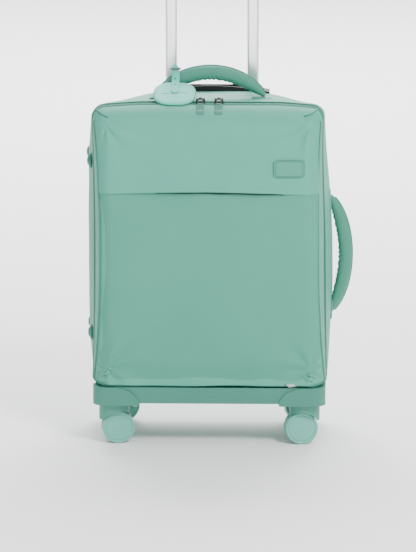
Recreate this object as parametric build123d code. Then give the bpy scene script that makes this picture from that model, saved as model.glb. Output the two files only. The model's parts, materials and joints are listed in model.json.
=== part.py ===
"""Softside upright suitcase on four twin-wheel casters.

Frame: +Z up, +X to the right of someone facing the lid, +Y from the lid towards the back.
The origin is on the floor, under the middle of the case body. Millimetres.

The case stands with its lid zipped, its pull handle fully out and its luggage tag resting
above the top edge. Every solid is drawn in that stance.
"""

from build123d import *
import math
import os

# ---------------------------------------------------------------- driving sizes
# case body, which the fabric panels are cut to
CASE_WIDTH = 348.0  # across, over the fabric
BASE_DEPTH = 202.0  # front to back, over the moulded base pan
SHELL_TOP = 505.0  # height of the flat top above the floor
WALL = 3.5  # foam-backed fabric panel
TOP_CORNER = 38.0  # corner radius of the case seen from the front
FOOT_CORNER = 10.0
LID_DEPTH = 45.0  # lid gusset, seam to front panel
LID_TOP_ROUND = 44.0  # rounding from the lid's top into its front
LID_SIDE_ROUND = 28.0  # rounding of the lid's upright edges
BACK_ROUND = 26.0  # rounding of the body's rear edges
FACE_GAP = 0.3  # between pieces that meet but move apart

# base, casters
WHEEL_DIAMETER = 48.0
WHEEL_WIDTH = 10.0
WHEEL_SPACING = 8.0  # slot between the twin wheels, for the fork's leg
WHEEL_ARCH = 1.0  # clearance from tread to fork
AXLE_DIAMETER = 5.0
KINGPIN_DIAMETER = 8.0
RUNNING_CLEARANCE = 0.05  # radial, in every bearing
TRAIL = 5.5  # kingpin axis to axle
FORK_DIAMETER = 45.0
FORK_HEIGHT = 60.0  # top of the fork's swivel flange
FORK_SKIRT = 36.0  # lowest edge of the fork's leading skirt
SWIVEL_GAP = 1.0  # fork to corner guard
GUARD_WIDTH = 69.0  # corner guard along X
GUARD_DEPTH = 64.0  # corner guard along Y
GUARD_HEIGHT = 27.0
GUARD_SKIN = 3.0
KINGPIN_INSET = 31.0  # kingpin axis from the guard's outer faces
PAN_WALL = 3.0
BOARD = 3.0  # stiffening boards
SCREW_RADIUS = 1.5
SCREW_HEAD_RADIUS = 3.4
SCREW_HEAD_HEIGHT = 1.6

# zip
ZIP_HALF_GAP = 0.15  # between the two closed coils
COIL_WIDTH = 1.85  # one side's coil, across the seam
COIL_THICKNESS = 2.6
TAPE_WIDTH = 9.0
TAPE_THICKNESS = 0.8
ZIP_END_HEIGHT = 160.0  # where the side runs of the zip stop
SLIDER_LENGTH = 14.0
SLIDER_WIDTH = 9.0
SLIDER_HEIGHT = 3.6
SLIDER_OFFSET = 13.5  # slider centre from the middle of the case
SLIDER_LIFT = 0.3  # clearance over the coils
PULL_PIN_RADIUS = 1.0
PULL_PIN_FORWARD = 3.0  # pull's pin ahead of the slider body
PULL_PIN_HEIGHT = 7.6  # pull's pin above the flat top
PULL_CLEARANCE = 0.3  # pull to its pin, and pull to the lid it lies on
PULL_LENGTH = 25.0
PULL_WIDTH = 12.0
PULL_THICKNESS = 2.2

# front pocket and badge
POCKET_HALF_WIDTH = 157.0
POCKET_BOTTOM = 101.0
POCKET_TOP = 388.0
POCKET_CAVITY = 5.5
POCKET_SKIN = 2.0
BADGE_WIDTH = 49.0
BADGE_HEIGHT = 28.0
BADGE_THICKNESS = 1.6
BADGE_X = 120.0
BADGE_Z = 420.0

# pull handle
TUBE_SPACING = 122.0  # centre to centre
SLEEVE_SIZE = (20.0, 15.0)
MIDDLE_SIZE = (17.0, 12.0)
UPPER_SIZE = (14.2, 9.2)
TUBE_WALL = 1.1
TUBE_CORNER = 3.8
LOWER_TRAVEL = 255.0
UPPER_TRAVEL = 255.0
SLEEVE_BOTTOM = 97.0
CUP_MARGIN = 11.0  # cup past each end of the grip
CUP_FRONT = 72.0
CUP_FLOOR = 4.0
CUP_HEIGHT = 28.0  # from the underside of its floor to the crown of its rim
CUP_RIM_DROP = 9.0  # the rim falls this much from crown to ends
CUP_WALL = 3.2
COLLAR_HEIGHT = 6.0
GUIDE_LENGTH = 14.0
PLUG_CLEARANCE = 0.05  # a guide's plug inside its own tube
SHOE_CLEARANCE = 0.15  # a guide's shoe inside the next tube out
GRIP_OVERHANG = 14.0  # grip past the tubes' centres
GRIP_DEPTH = 22.0
GRIP_HEIGHT = 24.0
GRIP_SPLIT = 10.0  # height of the grip's lower half
GRIP_WALL = 2.4
BUTTON_LENGTH = 34.0
BUTTON_WIDTH = 9.0
BUTTON_PROUD = 2.6
BUTTON_TRAVEL = 2.5
ROD_RADIUS = 1.8

# carry handles and side feet
TOP_HANDLE_SPAN = 148.0
TOP_HANDLE_RISE = 30.0
TOP_HANDLE_Y = 8.0
HANDLE_RADIUS = 10.4  # in the middle of a padded handle
HANDLE_END_RADIUS = 5.5
SIDE_HANDLE_SPAN = 172.0
SIDE_HANDLE_RISE = 20.0
SIDE_HANDLE_Y = 20.0
SIDE_HANDLE_Z = 268.0
ANCHOR_LENGTH = 24.0
ANCHOR_WIDTH = 22.0
ANCHOR_THICKNESS = 1.6
FOOT_RADIUS = 13.5
FOOT_HEIGHT = 6.0
FOOT_FLAT = 0.5
FOOT_HEIGHTS = (155.0, 414.0)
FOOT_DEPTHS = (-20.0, 60.0)

# luggage tag
TAG_X = -52.0
TAG_WIDTH = 62.0
TAG_LENGTH = 60.0
TAG_THICKNESS = 3.2
TAG_SLOPE = 21.0  # degrees, rising towards the handle
TAG_REACH = 75.0  # from the top handle forward to the tag's tip
STRAP_WIDTH = 11.0
STRAP_THICKNESS = 1.8
STRAP_LOOP_RADIUS = 15.6
STRAP_TIP = 11.0  # free end above the buckle

# inner frame
WIRE_RADIUS = 1.75

# which way each caster trails at rest, in degrees from +X: name, side, end, angle
CASTERS = (
    ("front_left", -1, -1, 8.0),
    ("front_right", 1, -1, 188.0),
    ("rear_left", -1, 1, 20.0),
    ("rear_right", 1, 1, 205.0),
)

# ---------------------------------------------------------------- sizes that follow
HALF_WIDTH = CASE_WIDTH / 2
HALF_DEPTH = BASE_DEPTH / 2
GUARD_BOTTOM = FORK_HEIGHT + SWIVEL_GAP
PAN_BOTTOM = GUARD_BOTTOM + GUARD_SKIN
PAN_TOP = GUARD_BOTTOM + GUARD_HEIGHT
SHELL_BOTTOM = PAN_TOP
PAN_HALF_WIDTH = HALF_WIDTH - 5.0
GUARD_OUT_X = PAN_HALF_WIDTH + GUARD_SKIN
GUARD_OUT_Y = HALF_DEPTH + GUARD_SKIN
KINGPIN_X = GUARD_OUT_X - KINGPIN_INSET
KINGPIN_Y = GUARD_OUT_Y - KINGPIN_INSET
LID_FRONT = -HALF_DEPTH
SEAM_Y = LID_FRONT + LID_DEPTH + ZIP_HALF_GAP + COIL_WIDTH
LID_RIM = SEAM_Y - ZIP_HALF_GAP - COIL_WIDTH
BODY_RIM = SEAM_Y + ZIP_HALF_GAP + COIL_WIDTH
BODY_BACK = HALF_DEPTH
LID_FOOT = SHELL_BOTTOM + FACE_GAP
POCKET_FRONT = LID_FRONT - POCKET_CAVITY - POCKET_SKIN
HINGE_Y = POCKET_FRONT - 1.0
HINGE_Z = LID_FOOT
GRIP_WIDTH = TUBE_SPACING + 2 * GRIP_OVERHANG
CUP_HALF_WIDTH = GRIP_WIDTH / 2 + CUP_MARGIN
TUBE_Y = BODY_BACK - WALL - BOARD - SLEEVE_SIZE[1] / 2
CUP_BOTTOM = SHELL_TOP + 7.0 - CUP_HEIGHT
CUP_TOP = CUP_BOTTOM + CUP_HEIGHT
CUP_INSIDE = CUP_BOTTOM + CUP_FLOOR
BOARD_TOP = min(CUP_BOTTOM - 4, SHELL_TOP - BACK_ROUND - 2)
COLLAR_TOP = CUP_INSIDE + COLLAR_HEIGHT
GRIP_BOTTOM = COLLAR_TOP + 0.5 + LOWER_TRAVEL + UPPER_TRAVEL
TUBE_XS = (-TUBE_SPACING / 2, TUBE_SPACING / 2)


# ---------------------------------------------------------------- drawing helpers
def along_y(sketch, y0, y1):
    """A sketch drawn in X and Z, made solid from depth y0 to y1."""
    return extrude(Plane.XZ.offset(-y1) * sketch, y1 - y0)


def along_x(sketch, x0, x1):
    """A sketch drawn in Y and Z, made solid from x0 to x1."""
    return extrude(Plane.YZ.offset(x0) * sketch, x1 - x0)


def along_z(sketch, z0, z1):
    """A sketch drawn in X and Y, made solid from height z0 to z1."""
    return extrude(Plane.XY.offset(z0) * sketch, z1 - z0)


def block(x0, x1, y0, y1, z0, z1):
    """A box between two corners."""
    return Pos((x0 + x1) / 2, (y0 + y1) / 2, (z0 + z1) / 2) * Box(x1 - x0, y1 - y0, z1 - z0)


def disc(x, y, z0, z1, radius):
    """An upright cylinder."""
    return Pos(x, y, (z0 + z1) / 2) * Cylinder(radius, z1 - z0)


def panel(u0, u1, v0, v1, low=0.0, high=0.0):
    """A rectangle with one radius on its two lower corners and one on its two upper corners."""
    shape = Pos((u0 + u1) / 2, (v0 + v1) / 2) * Rectangle(u1 - u0, v1 - v0)
    if low > 0:
        shape = fillet(shape.vertices().group_by(Axis.Y)[0], low)
    if high > 0:
        shape = fillet(shape.vertices().group_by(Axis.Y)[-1], high)
    return shape


def one_corner(u0, u1, v0, v1, at_u, at_v, radius):
    """A rectangle with the corner at (at_u, at_v) rounded."""
    shape = Pos((u0 + u1) / 2, (v0 + v1) / 2) * Rectangle(u1 - u0, v1 - v0)
    corner = shape.vertices().sort_by_distance((at_u, at_v, 0))[0]
    return fillet(corner, radius)


def case_outline(inset):
    """The case seen from the front, drawn in by inset all round."""
    half = HALF_WIDTH - inset
    return panel(-half, half, LID_FOOT + inset, SHELL_TOP - inset, FOOT_CORNER - inset, TOP_CORNER - inset)


def band(inset_out, inset_in, y0, y1):
    """A hoop that follows the case outline, between two insets and two depths."""
    return along_y(case_outline(inset_out) - case_outline(inset_in), y0, y1)


def above(solid, z):
    """The part of a hoop above a height."""
    return solid & block(-500, 500, -500, 500, z, 2000)


def below(solid, z):
    """The part of a hoop below a height."""
    return solid & block(-500, 500, -500, 500, -100, z)


def rounded_tube(size, corner, wall):
    """A tube section, with its wall inside the size."""
    outer = RectangleRounded(size[0], size[1], corner)
    return outer - RectangleRounded(size[0] - 2 * wall, size[1] - 2 * wall, corner - wall)


# ---------------------------------------------------------------- fabric case
def lid_mass(inset):
    """The lid's outer form, or its hollow when drawn in by the wall."""
    front = LID_FRONT + inset
    top = SHELL_TOP - inset
    half = HALF_WIDTH - inset
    foot = LID_FOOT + inset
    from_front = along_y(case_outline(inset), front, LID_RIM)
    side = one_corner(front, LID_RIM, foot, top, front, top, LID_TOP_ROUND - inset)
    plan = panel(-half, half, front, LID_RIM, LID_SIDE_ROUND - inset, 0)
    return from_front & along_x(side, -half, half) & along_z(plan, foot, top)


def body_mass(inset):
    """The main body's outer form, or its hollow when drawn in by the wall."""
    back = BODY_BACK - inset
    top = SHELL_TOP - inset
    half = HALF_WIDTH - inset
    foot = LID_FOOT + inset
    from_front = along_y(case_outline(inset), BODY_RIM, back)
    side = one_corner(BODY_RIM, back, foot, top, back, top, BACK_ROUND - inset)
    plan = panel(-half, half, BODY_RIM, back, 0, BACK_ROUND - inset)
    return from_front & along_x(side, -half, half) & along_z(plan, foot, top)


def cup_envelope(z0):
    """The space the handle cup takes out of the top rear edge, from height z0 up."""
    return block(-CUP_HALF_WIDTH, CUP_HALF_WIDTH, CUP_FRONT, BODY_BACK, z0, CUP_TOP + 20)


def lid_shell():
    return lid_mass(0) - lid_mass(WALL)


def body_shell():
    return body_mass(0) - body_mass(WALL) - cup_envelope(CUP_BOTTOM)


def front_pocket():
    """A flat slip pocket: a fabric sheet held off the lid by a rim down its sides and along its foot."""
    outer = panel(-POCKET_HALF_WIDTH, POCKET_HALF_WIDTH, POCKET_BOTTOM, POCKET_TOP, 8, 0)
    inner = panel(
        -POCKET_HALF_WIDTH + POCKET_SKIN,
        POCKET_HALF_WIDTH - POCKET_SKIN,
        POCKET_BOTTOM + POCKET_SKIN,
        POCKET_TOP + 1,
        6,
        0,
    )
    return along_y(outer, POCKET_FRONT, LID_FRONT) - along_y(inner, POCKET_FRONT + POCKET_SKIN, LID_FRONT)


def badge():
    """A rounded plate with a raised border and a plain raised bar."""
    plate = Pos(BADGE_X, BADGE_Z) * RectangleRounded(BADGE_WIDTH, BADGE_HEIGHT, 4)
    border = plate - Pos(BADGE_X, BADGE_Z) * RectangleRounded(BADGE_WIDTH - 3, BADGE_HEIGHT - 3, 2.5)
    bar = Pos(BADGE_X, BADGE_Z) * RectangleRounded(BADGE_WIDTH * 0.6, 4.0, 1.9)
    back = LID_FRONT
    face = back - BADGE_THICKNESS
    return along_y(plate, face, back) + along_y(border, face - 0.6, face) + along_y(bar, face - 0.5, face)


def wire_hoop(y):
    """The spring-steel wire that keeps a rim in shape, just inside the zip tape."""
    inset = WALL + TAPE_THICKNESS + FACE_GAP + WIRE_RADIUS
    path = (Plane.XZ.offset(-y) * case_outline(inset)).wires()[0]
    start = path.edges()[0]
    section = Plane(origin=start @ 0, z_dir=start % 0) * Circle(WIRE_RADIUS)
    return sweep(section, path=path)


# ---------------------------------------------------------------- base
def guard_side(out, width, bottom, top):
    """A corner guard from one side: square outside, a quarter ellipse on its inner edge."""
    inner = out - width
    shoulder = out - width * 0.42
    square = panel(shoulder, out, bottom, top)
    curve = Pos(shoulder, bottom) * Ellipse(shoulder - inner, top - bottom)
    return square + (curve & panel(inner, shoulder, bottom, top))


def kingpin_at(side, end):
    return side * KINGPIN_X, end * KINGPIN_Y


def guard_screws(side, end):
    """Centres of a guard's three screws, clear of the swivelling fork."""
    x, y = kingpin_at(side, end)
    reach_x = KINGPIN_INSET - 6.5
    reach_y = GUARD_DEPTH - KINGPIN_INSET - 6.0
    return [
        (x - side * (GUARD_WIDTH - KINGPIN_INSET - 6.5), y + end * (KINGPIN_INSET - 7.5)),
        (x + side * reach_x * 0.9, y - end * reach_y),
        (x - side * reach_x, y - end * reach_y),
    ]


def corner_guard(side, end):
    """A moulded cap round one corner of the pan, with the hole that the kingpin is riveted in."""
    across = guard_side(GUARD_OUT_X, GUARD_WIDTH, GUARD_BOTTOM, PAN_TOP)
    along = guard_side(GUARD_OUT_Y, GUARD_DEPTH, GUARD_BOTTOM, PAN_TOP)
    plan = one_corner(
        GUARD_OUT_X - GUARD_WIDTH,
        GUARD_OUT_X,
        GUARD_OUT_Y - GUARD_DEPTH,
        GUARD_OUT_Y,
        GUARD_OUT_X,
        GUARD_OUT_Y,
        20.0,
    )
    cap = along_y(across, GUARD_OUT_Y - GUARD_DEPTH, GUARD_OUT_Y)
    cap &= along_x(along, GUARD_OUT_X - GUARD_WIDTH, GUARD_OUT_X)
    cap &= along_z(plan, GUARD_BOTTOM, PAN_TOP)
    cap -= pan_mass(0, PAN_BOTTOM, PAN_TOP)
    cap -= disc(KINGPIN_X, KINGPIN_Y, GUARD_BOTTOM - 1, PAN_BOTTOM + 1, KINGPIN_DIAMETER / 2)
    if side < 0:
        cap = mirror(cap, Plane.YZ)
    if end < 0:
        cap = mirror(cap, Plane.XZ)
    for x, y in guard_screws(side, end):
        cap -= disc(x, y, GUARD_BOTTOM - 1, PAN_BOTTOM + 1, SCREW_RADIUS + 0.1)
    return cap


def pan_mass(inset, z0, z1):
    """The base pan's plan, drawn in by inset, between two heights."""
    half_x = PAN_HALF_WIDTH - inset
    half_y = HALF_DEPTH - inset
    return along_z(RectangleRounded(2 * half_x, 2 * half_y, 17 - inset), z0, z1)


def base_pan():
    """An open-topped moulded tray under the fabric, bored for kingpins and screws."""
    pan = pan_mass(0, PAN_BOTTOM, PAN_TOP) - pan_mass(PAN_WALL, PAN_BOTTOM + PAN_WALL, PAN_TOP)
    for _, side, end, _ in CASTERS:
        x, y = kingpin_at(side, end)
        pan -= disc(x, y, PAN_BOTTOM - 1, PAN_BOTTOM + PAN_WALL + 1, KINGPIN_DIAMETER / 2)
        for sx, sy in guard_screws(side, end):
            pan -= disc(sx, sy, PAN_BOTTOM - 1, PAN_BOTTOM + PAN_WALL + 1, SCREW_RADIUS + 0.1)
    return pan


def floor_board():
    """The stiff board that closes the pan and carries the fabric floor."""
    return pan_mass(PAN_WALL, PAN_TOP - BOARD, PAN_TOP)


def all_guard_screws():
    screws = []
    for _, side, end, _ in CASTERS:
        for x, y in guard_screws(side, end):
            head = disc(x, y, GUARD_BOTTOM - SCREW_HEAD_HEIGHT, GUARD_BOTTOM, SCREW_HEAD_RADIUS)
            screws.append(head + disc(x, y, GUARD_BOTTOM, PAN_BOTTOM + PAN_WALL + 4, SCREW_RADIUS))
    return Compound(children=screws)


# ---------------------------------------------------------------- casters
def caster_frame(side, end, angle):
    """Moves a caster drawn at the origin, trailing along +X, to its corner and rest angle."""
    x, y = kingpin_at(side, end)
    return Pos(x, y, 0) * Rot(0, 0, angle)


def fork():
    """One moulding: swivel flange, arch over both wheels with a skirt in front, and a leg between them."""
    wheel_radius = WHEEL_DIAMETER / 2
    body = disc(0, 0, FORK_SKIRT, FORK_HEIGHT, FORK_DIAMETER / 2)
    arch = Pos(TRAIL, 0, wheel_radius) * Rot(90, 0, 0) * Cylinder(wheel_radius + WHEEL_ARCH, 80)
    body -= arch
    leg_half = WHEEL_SPACING / 2 - 0.5
    leg = along_y(
        make_hull(
            [
                *(Pos(TRAIL, wheel_radius) * Circle(7)).edges(),
                *(Pos(-4, FORK_HEIGHT - 8) * Rectangle(26, 4)).edges(),
            ]
        ),
        -leg_half,
        leg_half,
    )
    body += leg
    body -= disc(0, 0, FORK_HEIGHT - 10.5, FORK_HEIGHT + 1, KINGPIN_DIAMETER / 2 + RUNNING_CLEARANCE)
    axle_hole = Pos(TRAIL, 0, wheel_radius) * Rot(90, 0, 0) * Cylinder(AXLE_DIAMETER / 2, 80)
    return body - axle_hole


def twin_wheels():
    """Two discs with a stepped face, each with a blind bore on its inner side."""
    radius = WHEEL_DIAMETER / 2
    profile = Circle(radius)
    wheel = fillet(extrude(profile, WHEEL_WIDTH).edges(), 1.6)
    wheel -= Pos(0, 0, WHEEL_WIDTH - 0.6) * (Cylinder(20.4, 1.2) - Cylinder(19.4, 1.2))
    wheel -= Pos(0, 0, 3.5) * Cylinder(AXLE_DIAMETER / 2 + RUNNING_CLEARANCE, 9)
    left = Pos(TRAIL, -WHEEL_SPACING / 2, radius) * Rot(90, 0, 0) * wheel
    right = Pos(TRAIL, WHEEL_SPACING / 2, radius) * Rot(-90, 0, 0) * wheel
    return Compound(children=[left, right])


def axle():
    length = WHEEL_SPACING + 2 * (8.0 - FACE_GAP)
    return Pos(TRAIL, 0, WHEEL_DIAMETER / 2) * Rot(90, 0, 0) * Cylinder(AXLE_DIAMETER / 2, length)


def kingpins():
    """The four pivots, headed over inside the pan."""
    pins = []
    for _, side, end, _ in CASTERS:
        x, y = kingpin_at(side, end)
        head_z = PAN_BOTTOM + PAN_WALL
        pin = disc(x, y, FORK_HEIGHT - 10.2, head_z, KINGPIN_DIAMETER / 2)
        pins.append(pin + disc(x, y, head_z, head_z + 2, KINGPIN_DIAMETER / 2 + 3))
    return Compound(children=pins)


def swivel_washers():
    """Plain bearing washers between each fork and its guard."""
    rings = []
    for _, side, end, _ in CASTERS:
        x, y = kingpin_at(side, end)
        ring = disc(x, y, FORK_HEIGHT + FACE_GAP, GUARD_BOTTOM, 11)
        rings.append(ring - disc(x, y, FORK_HEIGHT, GUARD_BOTTOM + 1, KINGPIN_DIAMETER / 2 + 0.2))
    return Compound(children=rings)


# ---------------------------------------------------------------- zip
def coil(y0, y1):
    """One side of the zip's coil, over the top and down both sides."""
    return above(band(0, COIL_THICKNESS, y0, y1), ZIP_END_HEIGHT)


def body_tape():
    """The body's half of the zip's tape, sewn behind the rim."""
    hoop = band(WALL, WALL + TAPE_THICKNESS, SEAM_Y + ZIP_HALF_GAP, SEAM_Y + TAPE_WIDTH)
    return above(hoop, ZIP_END_HEIGHT)


def lid_tape():
    """The lid's half of the tape, which follows the inside of the lid's rounding."""
    inside = lid_mass(WALL) - lid_mass(WALL + TAPE_THICKNESS)
    inside &= block(-HALF_WIDTH, HALF_WIDTH, SEAM_Y - TAPE_WIDTH, LID_RIM, ZIP_END_HEIGHT, SHELL_TOP)
    return inside + above(band(WALL, WALL + TAPE_THICKNESS, LID_RIM, SEAM_Y - ZIP_HALF_GAP), ZIP_END_HEIGHT)


def hinge_gusset():
    """The unzipped length of the seam: soft fabric across the foot and up both sides."""
    return below(band(0, COIL_THICKNESS, SEAM_Y + ZIP_HALF_GAP, BODY_RIM), ZIP_END_HEIGHT)


def pull_pin():
    """Depth and height of the pin that a pull turns on."""
    return SEAM_Y - SLIDER_WIDTH / 2 - PULL_PIN_FORWARD, SHELL_TOP + PULL_PIN_HEIGHT


def slider(x):
    """A slider body with two ears that reach forward to the pull's pin."""
    base = SHELL_TOP + SLIDER_LIFT
    body = Pos(x, SEAM_Y, base + SLIDER_HEIGHT / 2) * Box(SLIDER_LENGTH, SLIDER_WIDTH, SLIDER_HEIGHT)
    body = fillet(body.edges().filter_by(Axis.Z), 2.0)
    pin_y, pin_z = pull_pin()
    ear_inside = SLIDER_LENGTH / 2 - 2.6
    ear = make_hull(
        [
            *(Pos(pin_y, pin_z) * Circle(PULL_PIN_RADIUS + 0.8)).edges(),
            *(Pos(SEAM_Y - 1, base + SLIDER_HEIGHT - 0.5) * Rectangle(SLIDER_WIDTH - 4, 1)).edges(),
        ]
    )
    for edge in (-1, 1):
        near, far = sorted((x + edge * ear_inside, x + edge * (SLIDER_LENGTH / 2 - 0.6)))
        body += along_x(ear, near, far)
    pin = Pos(x, pin_y, pin_z) * Rot(0, 90, 0) * Cylinder(PULL_PIN_RADIUS, 2 * ear_inside)
    return body + pin


def pull_slope():
    """Degrees below level at which a pull from its pin lies on the lid's rounding."""
    pin_y, pin_z = pull_pin()
    forward = LID_FRONT + LID_TOP_ROUND - pin_y
    up = pin_z - (SHELL_TOP - LID_TOP_ROUND)
    needed = LID_TOP_ROUND + PULL_THICKNESS / 2 + PULL_CLEARANCE
    return math.degrees(math.atan2(forward, up) + math.acos(needed / math.hypot(forward, up)))


def pull_tab(x):
    """A moulded tab with an eye, lying down over the lid's edge."""
    pin_y, pin_z = pull_pin()
    eye_radius = PULL_PIN_RADIUS + PULL_CLEARANCE + 0.9
    eye_width = SLIDER_LENGTH - 5.2 - 2 * PULL_CLEARANCE
    eye = Rot(0, 90, 0) * Cylinder(eye_radius, eye_width)
    neck = block(-eye_width / 2, eye_width / 2, -6.5, 0, -PULL_THICKNESS / 2, PULL_THICKNESS / 2)
    tab = Pos(0, -6 - PULL_LENGTH / 2, 0) * Box(PULL_WIDTH, PULL_LENGTH, PULL_THICKNESS)
    tab = fillet(tab.edges().filter_by(Axis.Z), 2.4)
    bore = Rot(0, 90, 0) * Cylinder(PULL_PIN_RADIUS + PULL_CLEARANCE, eye_width + 1)
    return Pos(x, pin_y, pin_z) * Rot(pull_slope(), 0, 0) * (eye + neck + tab - bore)


# ---------------------------------------------------------------- pull handle
def tube_corner(size):
    """Corner radius outside a tube, in step with its depth."""
    return TUBE_CORNER * size[1] / SLEEVE_SIZE[1]


def pair_of_tubes(size, z0, z1):
    section = rounded_tube(size, tube_corner(size), TUBE_WALL)
    return [along_z(Pos(x, TUBE_Y) * section, z0, z1) for x in TUBE_XS]


def inside_tube(size, clearance):
    """The section that fits inside a tube with a clearance all round."""
    shrink = TUBE_WALL + clearance
    return RectangleRounded(size[0] - 2 * shrink, size[1] - 2 * shrink, tube_corner(size) - TUBE_WALL)


def sleeve_foot():
    """The bracket on the case floor that both sleeves stand in."""
    half = TUBE_SPACING / 2 + SLEEVE_SIZE[0] / 2 + 5
    floor = LID_FOOT + WALL
    front = TUBE_Y - SLEEVE_SIZE[1] / 2 - 3
    foot = block(-half, half, front, BODY_BACK - WALL - BOARD, floor, SLEEVE_BOTTOM + 8)
    foot -= block(
        -TUBE_SPACING / 2 + 16,
        TUBE_SPACING / 2 - 16,
        front - 1,
        BODY_BACK,
        floor + 4,
        SLEEVE_BOTTOM + 9,
    )
    for x in TUBE_XS:
        foot -= along_z(
            Pos(x, TUBE_Y) * RectangleRounded(*SLEEVE_SIZE, TUBE_CORNER), SLEEVE_BOTTOM, SLEEVE_BOTTOM + 9
        )
    return foot


def back_board():
    """The stiff board behind the sleeves."""
    half = HALF_WIDTH - WALL - 26
    board = block(-half, half, BODY_BACK - WALL - BOARD, BODY_BACK - WALL, LID_FOOT + WALL + 4, BOARD_TOP)
    return fillet(board.edges().filter_by(Axis.Y), 12)


def handle_cup():
    """The moulded well in the top rear edge that the grip drops into."""
    end_z = CUP_TOP - CUP_RIM_DROP
    with BuildSketch() as rim:
        with BuildLine():
            Polyline((-CUP_HALF_WIDTH, end_z), (-CUP_HALF_WIDTH, CUP_BOTTOM), (CUP_HALF_WIDTH, CUP_BOTTOM))
            Line((CUP_HALF_WIDTH, CUP_BOTTOM), (CUP_HALF_WIDTH, end_z))
            ThreePointArc((CUP_HALF_WIDTH, end_z), (0, CUP_TOP), (-CUP_HALF_WIDTH, end_z))
        make_face()
    cup = along_y(rim.sketch, CUP_FRONT, BODY_BACK)
    side = one_corner(CUP_FRONT, BODY_BACK, CUP_BOTTOM, CUP_TOP, BODY_BACK, CUP_TOP, 6)
    cup &= along_x(side, -CUP_HALF_WIDTH, CUP_HALF_WIDTH)
    well = RectangleRounded(GRIP_WIDTH + 3, GRIP_DEPTH + 1.6, 8)
    cup -= along_z(Pos(0, TUBE_Y) * well, CUP_INSIDE, CUP_TOP + 5)
    for x in TUBE_XS:
        slot = RectangleRounded(MIDDLE_SIZE[0] + 0.6, MIDDLE_SIZE[1] + 0.6, TUBE_CORNER)
        cup -= along_z(Pos(x, TUBE_Y) * slot, CUP_BOTTOM - 1, CUP_INSIDE + 1)
    return cup


def collars():
    """The rings pressed round the top of each middle tube."""
    top = COLLAR_TOP + LOWER_TRAVEL
    ring = RectangleRounded(MIDDLE_SIZE[0] + 2.4, MIDDLE_SIZE[1] + 2.4, TUBE_CORNER)
    ring -= RectangleRounded(*MIDDLE_SIZE, tube_corner(MIDDLE_SIZE))
    return Compound(children=[along_z(Pos(x, TUBE_Y) * ring, top - COLLAR_HEIGHT, top) for x in TUBE_XS])


def guides(inner_size, outer_size, bottom):
    """The slides in each moving tube's foot: a plug inside it, and a shoe that runs in the next tube."""
    shapes = []
    plug = inside_tube(inner_size, PLUG_CLEARANCE)
    shoe = inside_tube(outer_size, SHOE_CLEARANCE)
    for x in TUBE_XS:
        at = Pos(x, TUBE_Y)
        upper = along_z(at * plug, bottom, bottom + GUIDE_LENGTH)
        shapes.append(upper + along_z(at * shoe, bottom - GUIDE_LENGTH / 2, bottom))
    return Compound(children=shapes)


MIDDLE_FOOT = SLEEVE_BOTTOM + 14 + LOWER_TRAVEL
MIDDLE_HEAD = COLLAR_TOP + LOWER_TRAVEL
UPPER_FOOT = MIDDLE_FOOT + GUIDE_LENGTH + GUIDE_LENGTH / 2 + 4 + UPPER_TRAVEL
UPPER_HEAD = GRIP_BOTTOM + GRIP_WALL + 6


def grip_mass(inset, z0, z1):
    """The grip's plan, drawn in by inset, between two heights."""
    section = RectangleRounded(GRIP_WIDTH - 2 * inset, GRIP_DEPTH - 2 * inset, 10 - inset)
    return along_z(Pos(0, TUBE_Y) * section, z0, z1)


def grip_lower():
    """The lower half of the grip, with sockets for both upper tubes."""
    z1 = GRIP_BOTTOM + GRIP_SPLIT
    half = grip_mass(0, GRIP_BOTTOM, z1)
    half = fillet(half.faces().sort_by(Axis.Z)[0].edges(), 4)
    half -= grip_mass(GRIP_WALL, GRIP_BOTTOM + GRIP_WALL, z1)
    for x in TUBE_XS:
        half -= along_z(
            Pos(x, TUBE_Y) * RectangleRounded(*UPPER_SIZE, tube_corner(UPPER_SIZE)),
            GRIP_BOTTOM - 1,
            z1,
        )
    return half


def grip_upper():
    """The upper half of the grip, with the window that the button shows through."""
    z0 = GRIP_BOTTOM + GRIP_SPLIT
    z1 = GRIP_BOTTOM + GRIP_HEIGHT
    half = grip_mass(0, z0, z1)
    half = fillet(half.faces().sort_by(Axis.Z)[-1].edges(), 6)
    half -= grip_mass(GRIP_WALL, z0, z1 - GRIP_WALL)
    window = RectangleRounded(BUTTON_LENGTH + 0.6, BUTTON_WIDTH + 0.6, 4.4)
    return half - along_z(Pos(0, TUBE_Y) * window, z0, z1 + 5)


def release_button():
    """The button cap and the flange that stops it inside the grip."""
    top = GRIP_BOTTOM + GRIP_HEIGHT + BUTTON_PROUD
    under = GRIP_BOTTOM + GRIP_HEIGHT - GRIP_WALL - FACE_GAP
    cap = along_z(Pos(0, TUBE_Y) * RectangleRounded(BUTTON_LENGTH, BUTTON_WIDTH, 4.1), under, top)
    cap = fillet(cap.faces().sort_by(Axis.Z)[-1].edges(), 1.2)
    return cap + block(-21, 21, TUBE_Y - 6.5, TUBE_Y + 6.5, under - 2, under)


def release_rods():
    """The bar under the button and the two rods that it pushes down the tubes to the locks."""
    bar_top = GRIP_BOTTOM + GRIP_HEIGHT - GRIP_WALL - FACE_GAP - 2
    bar_half = TUBE_SPACING / 2 + 3
    bar = block(-bar_half, bar_half, TUBE_Y - 2.5, TUBE_Y + 2.5, bar_top - 3, bar_top)
    low = UPPER_FOOT + GUIDE_LENGTH + BUTTON_TRAVEL + 1
    for x in TUBE_XS:
        bar += disc(x, TUBE_Y, low, bar_top - 3, ROD_RADIUS)
    return bar


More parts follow.
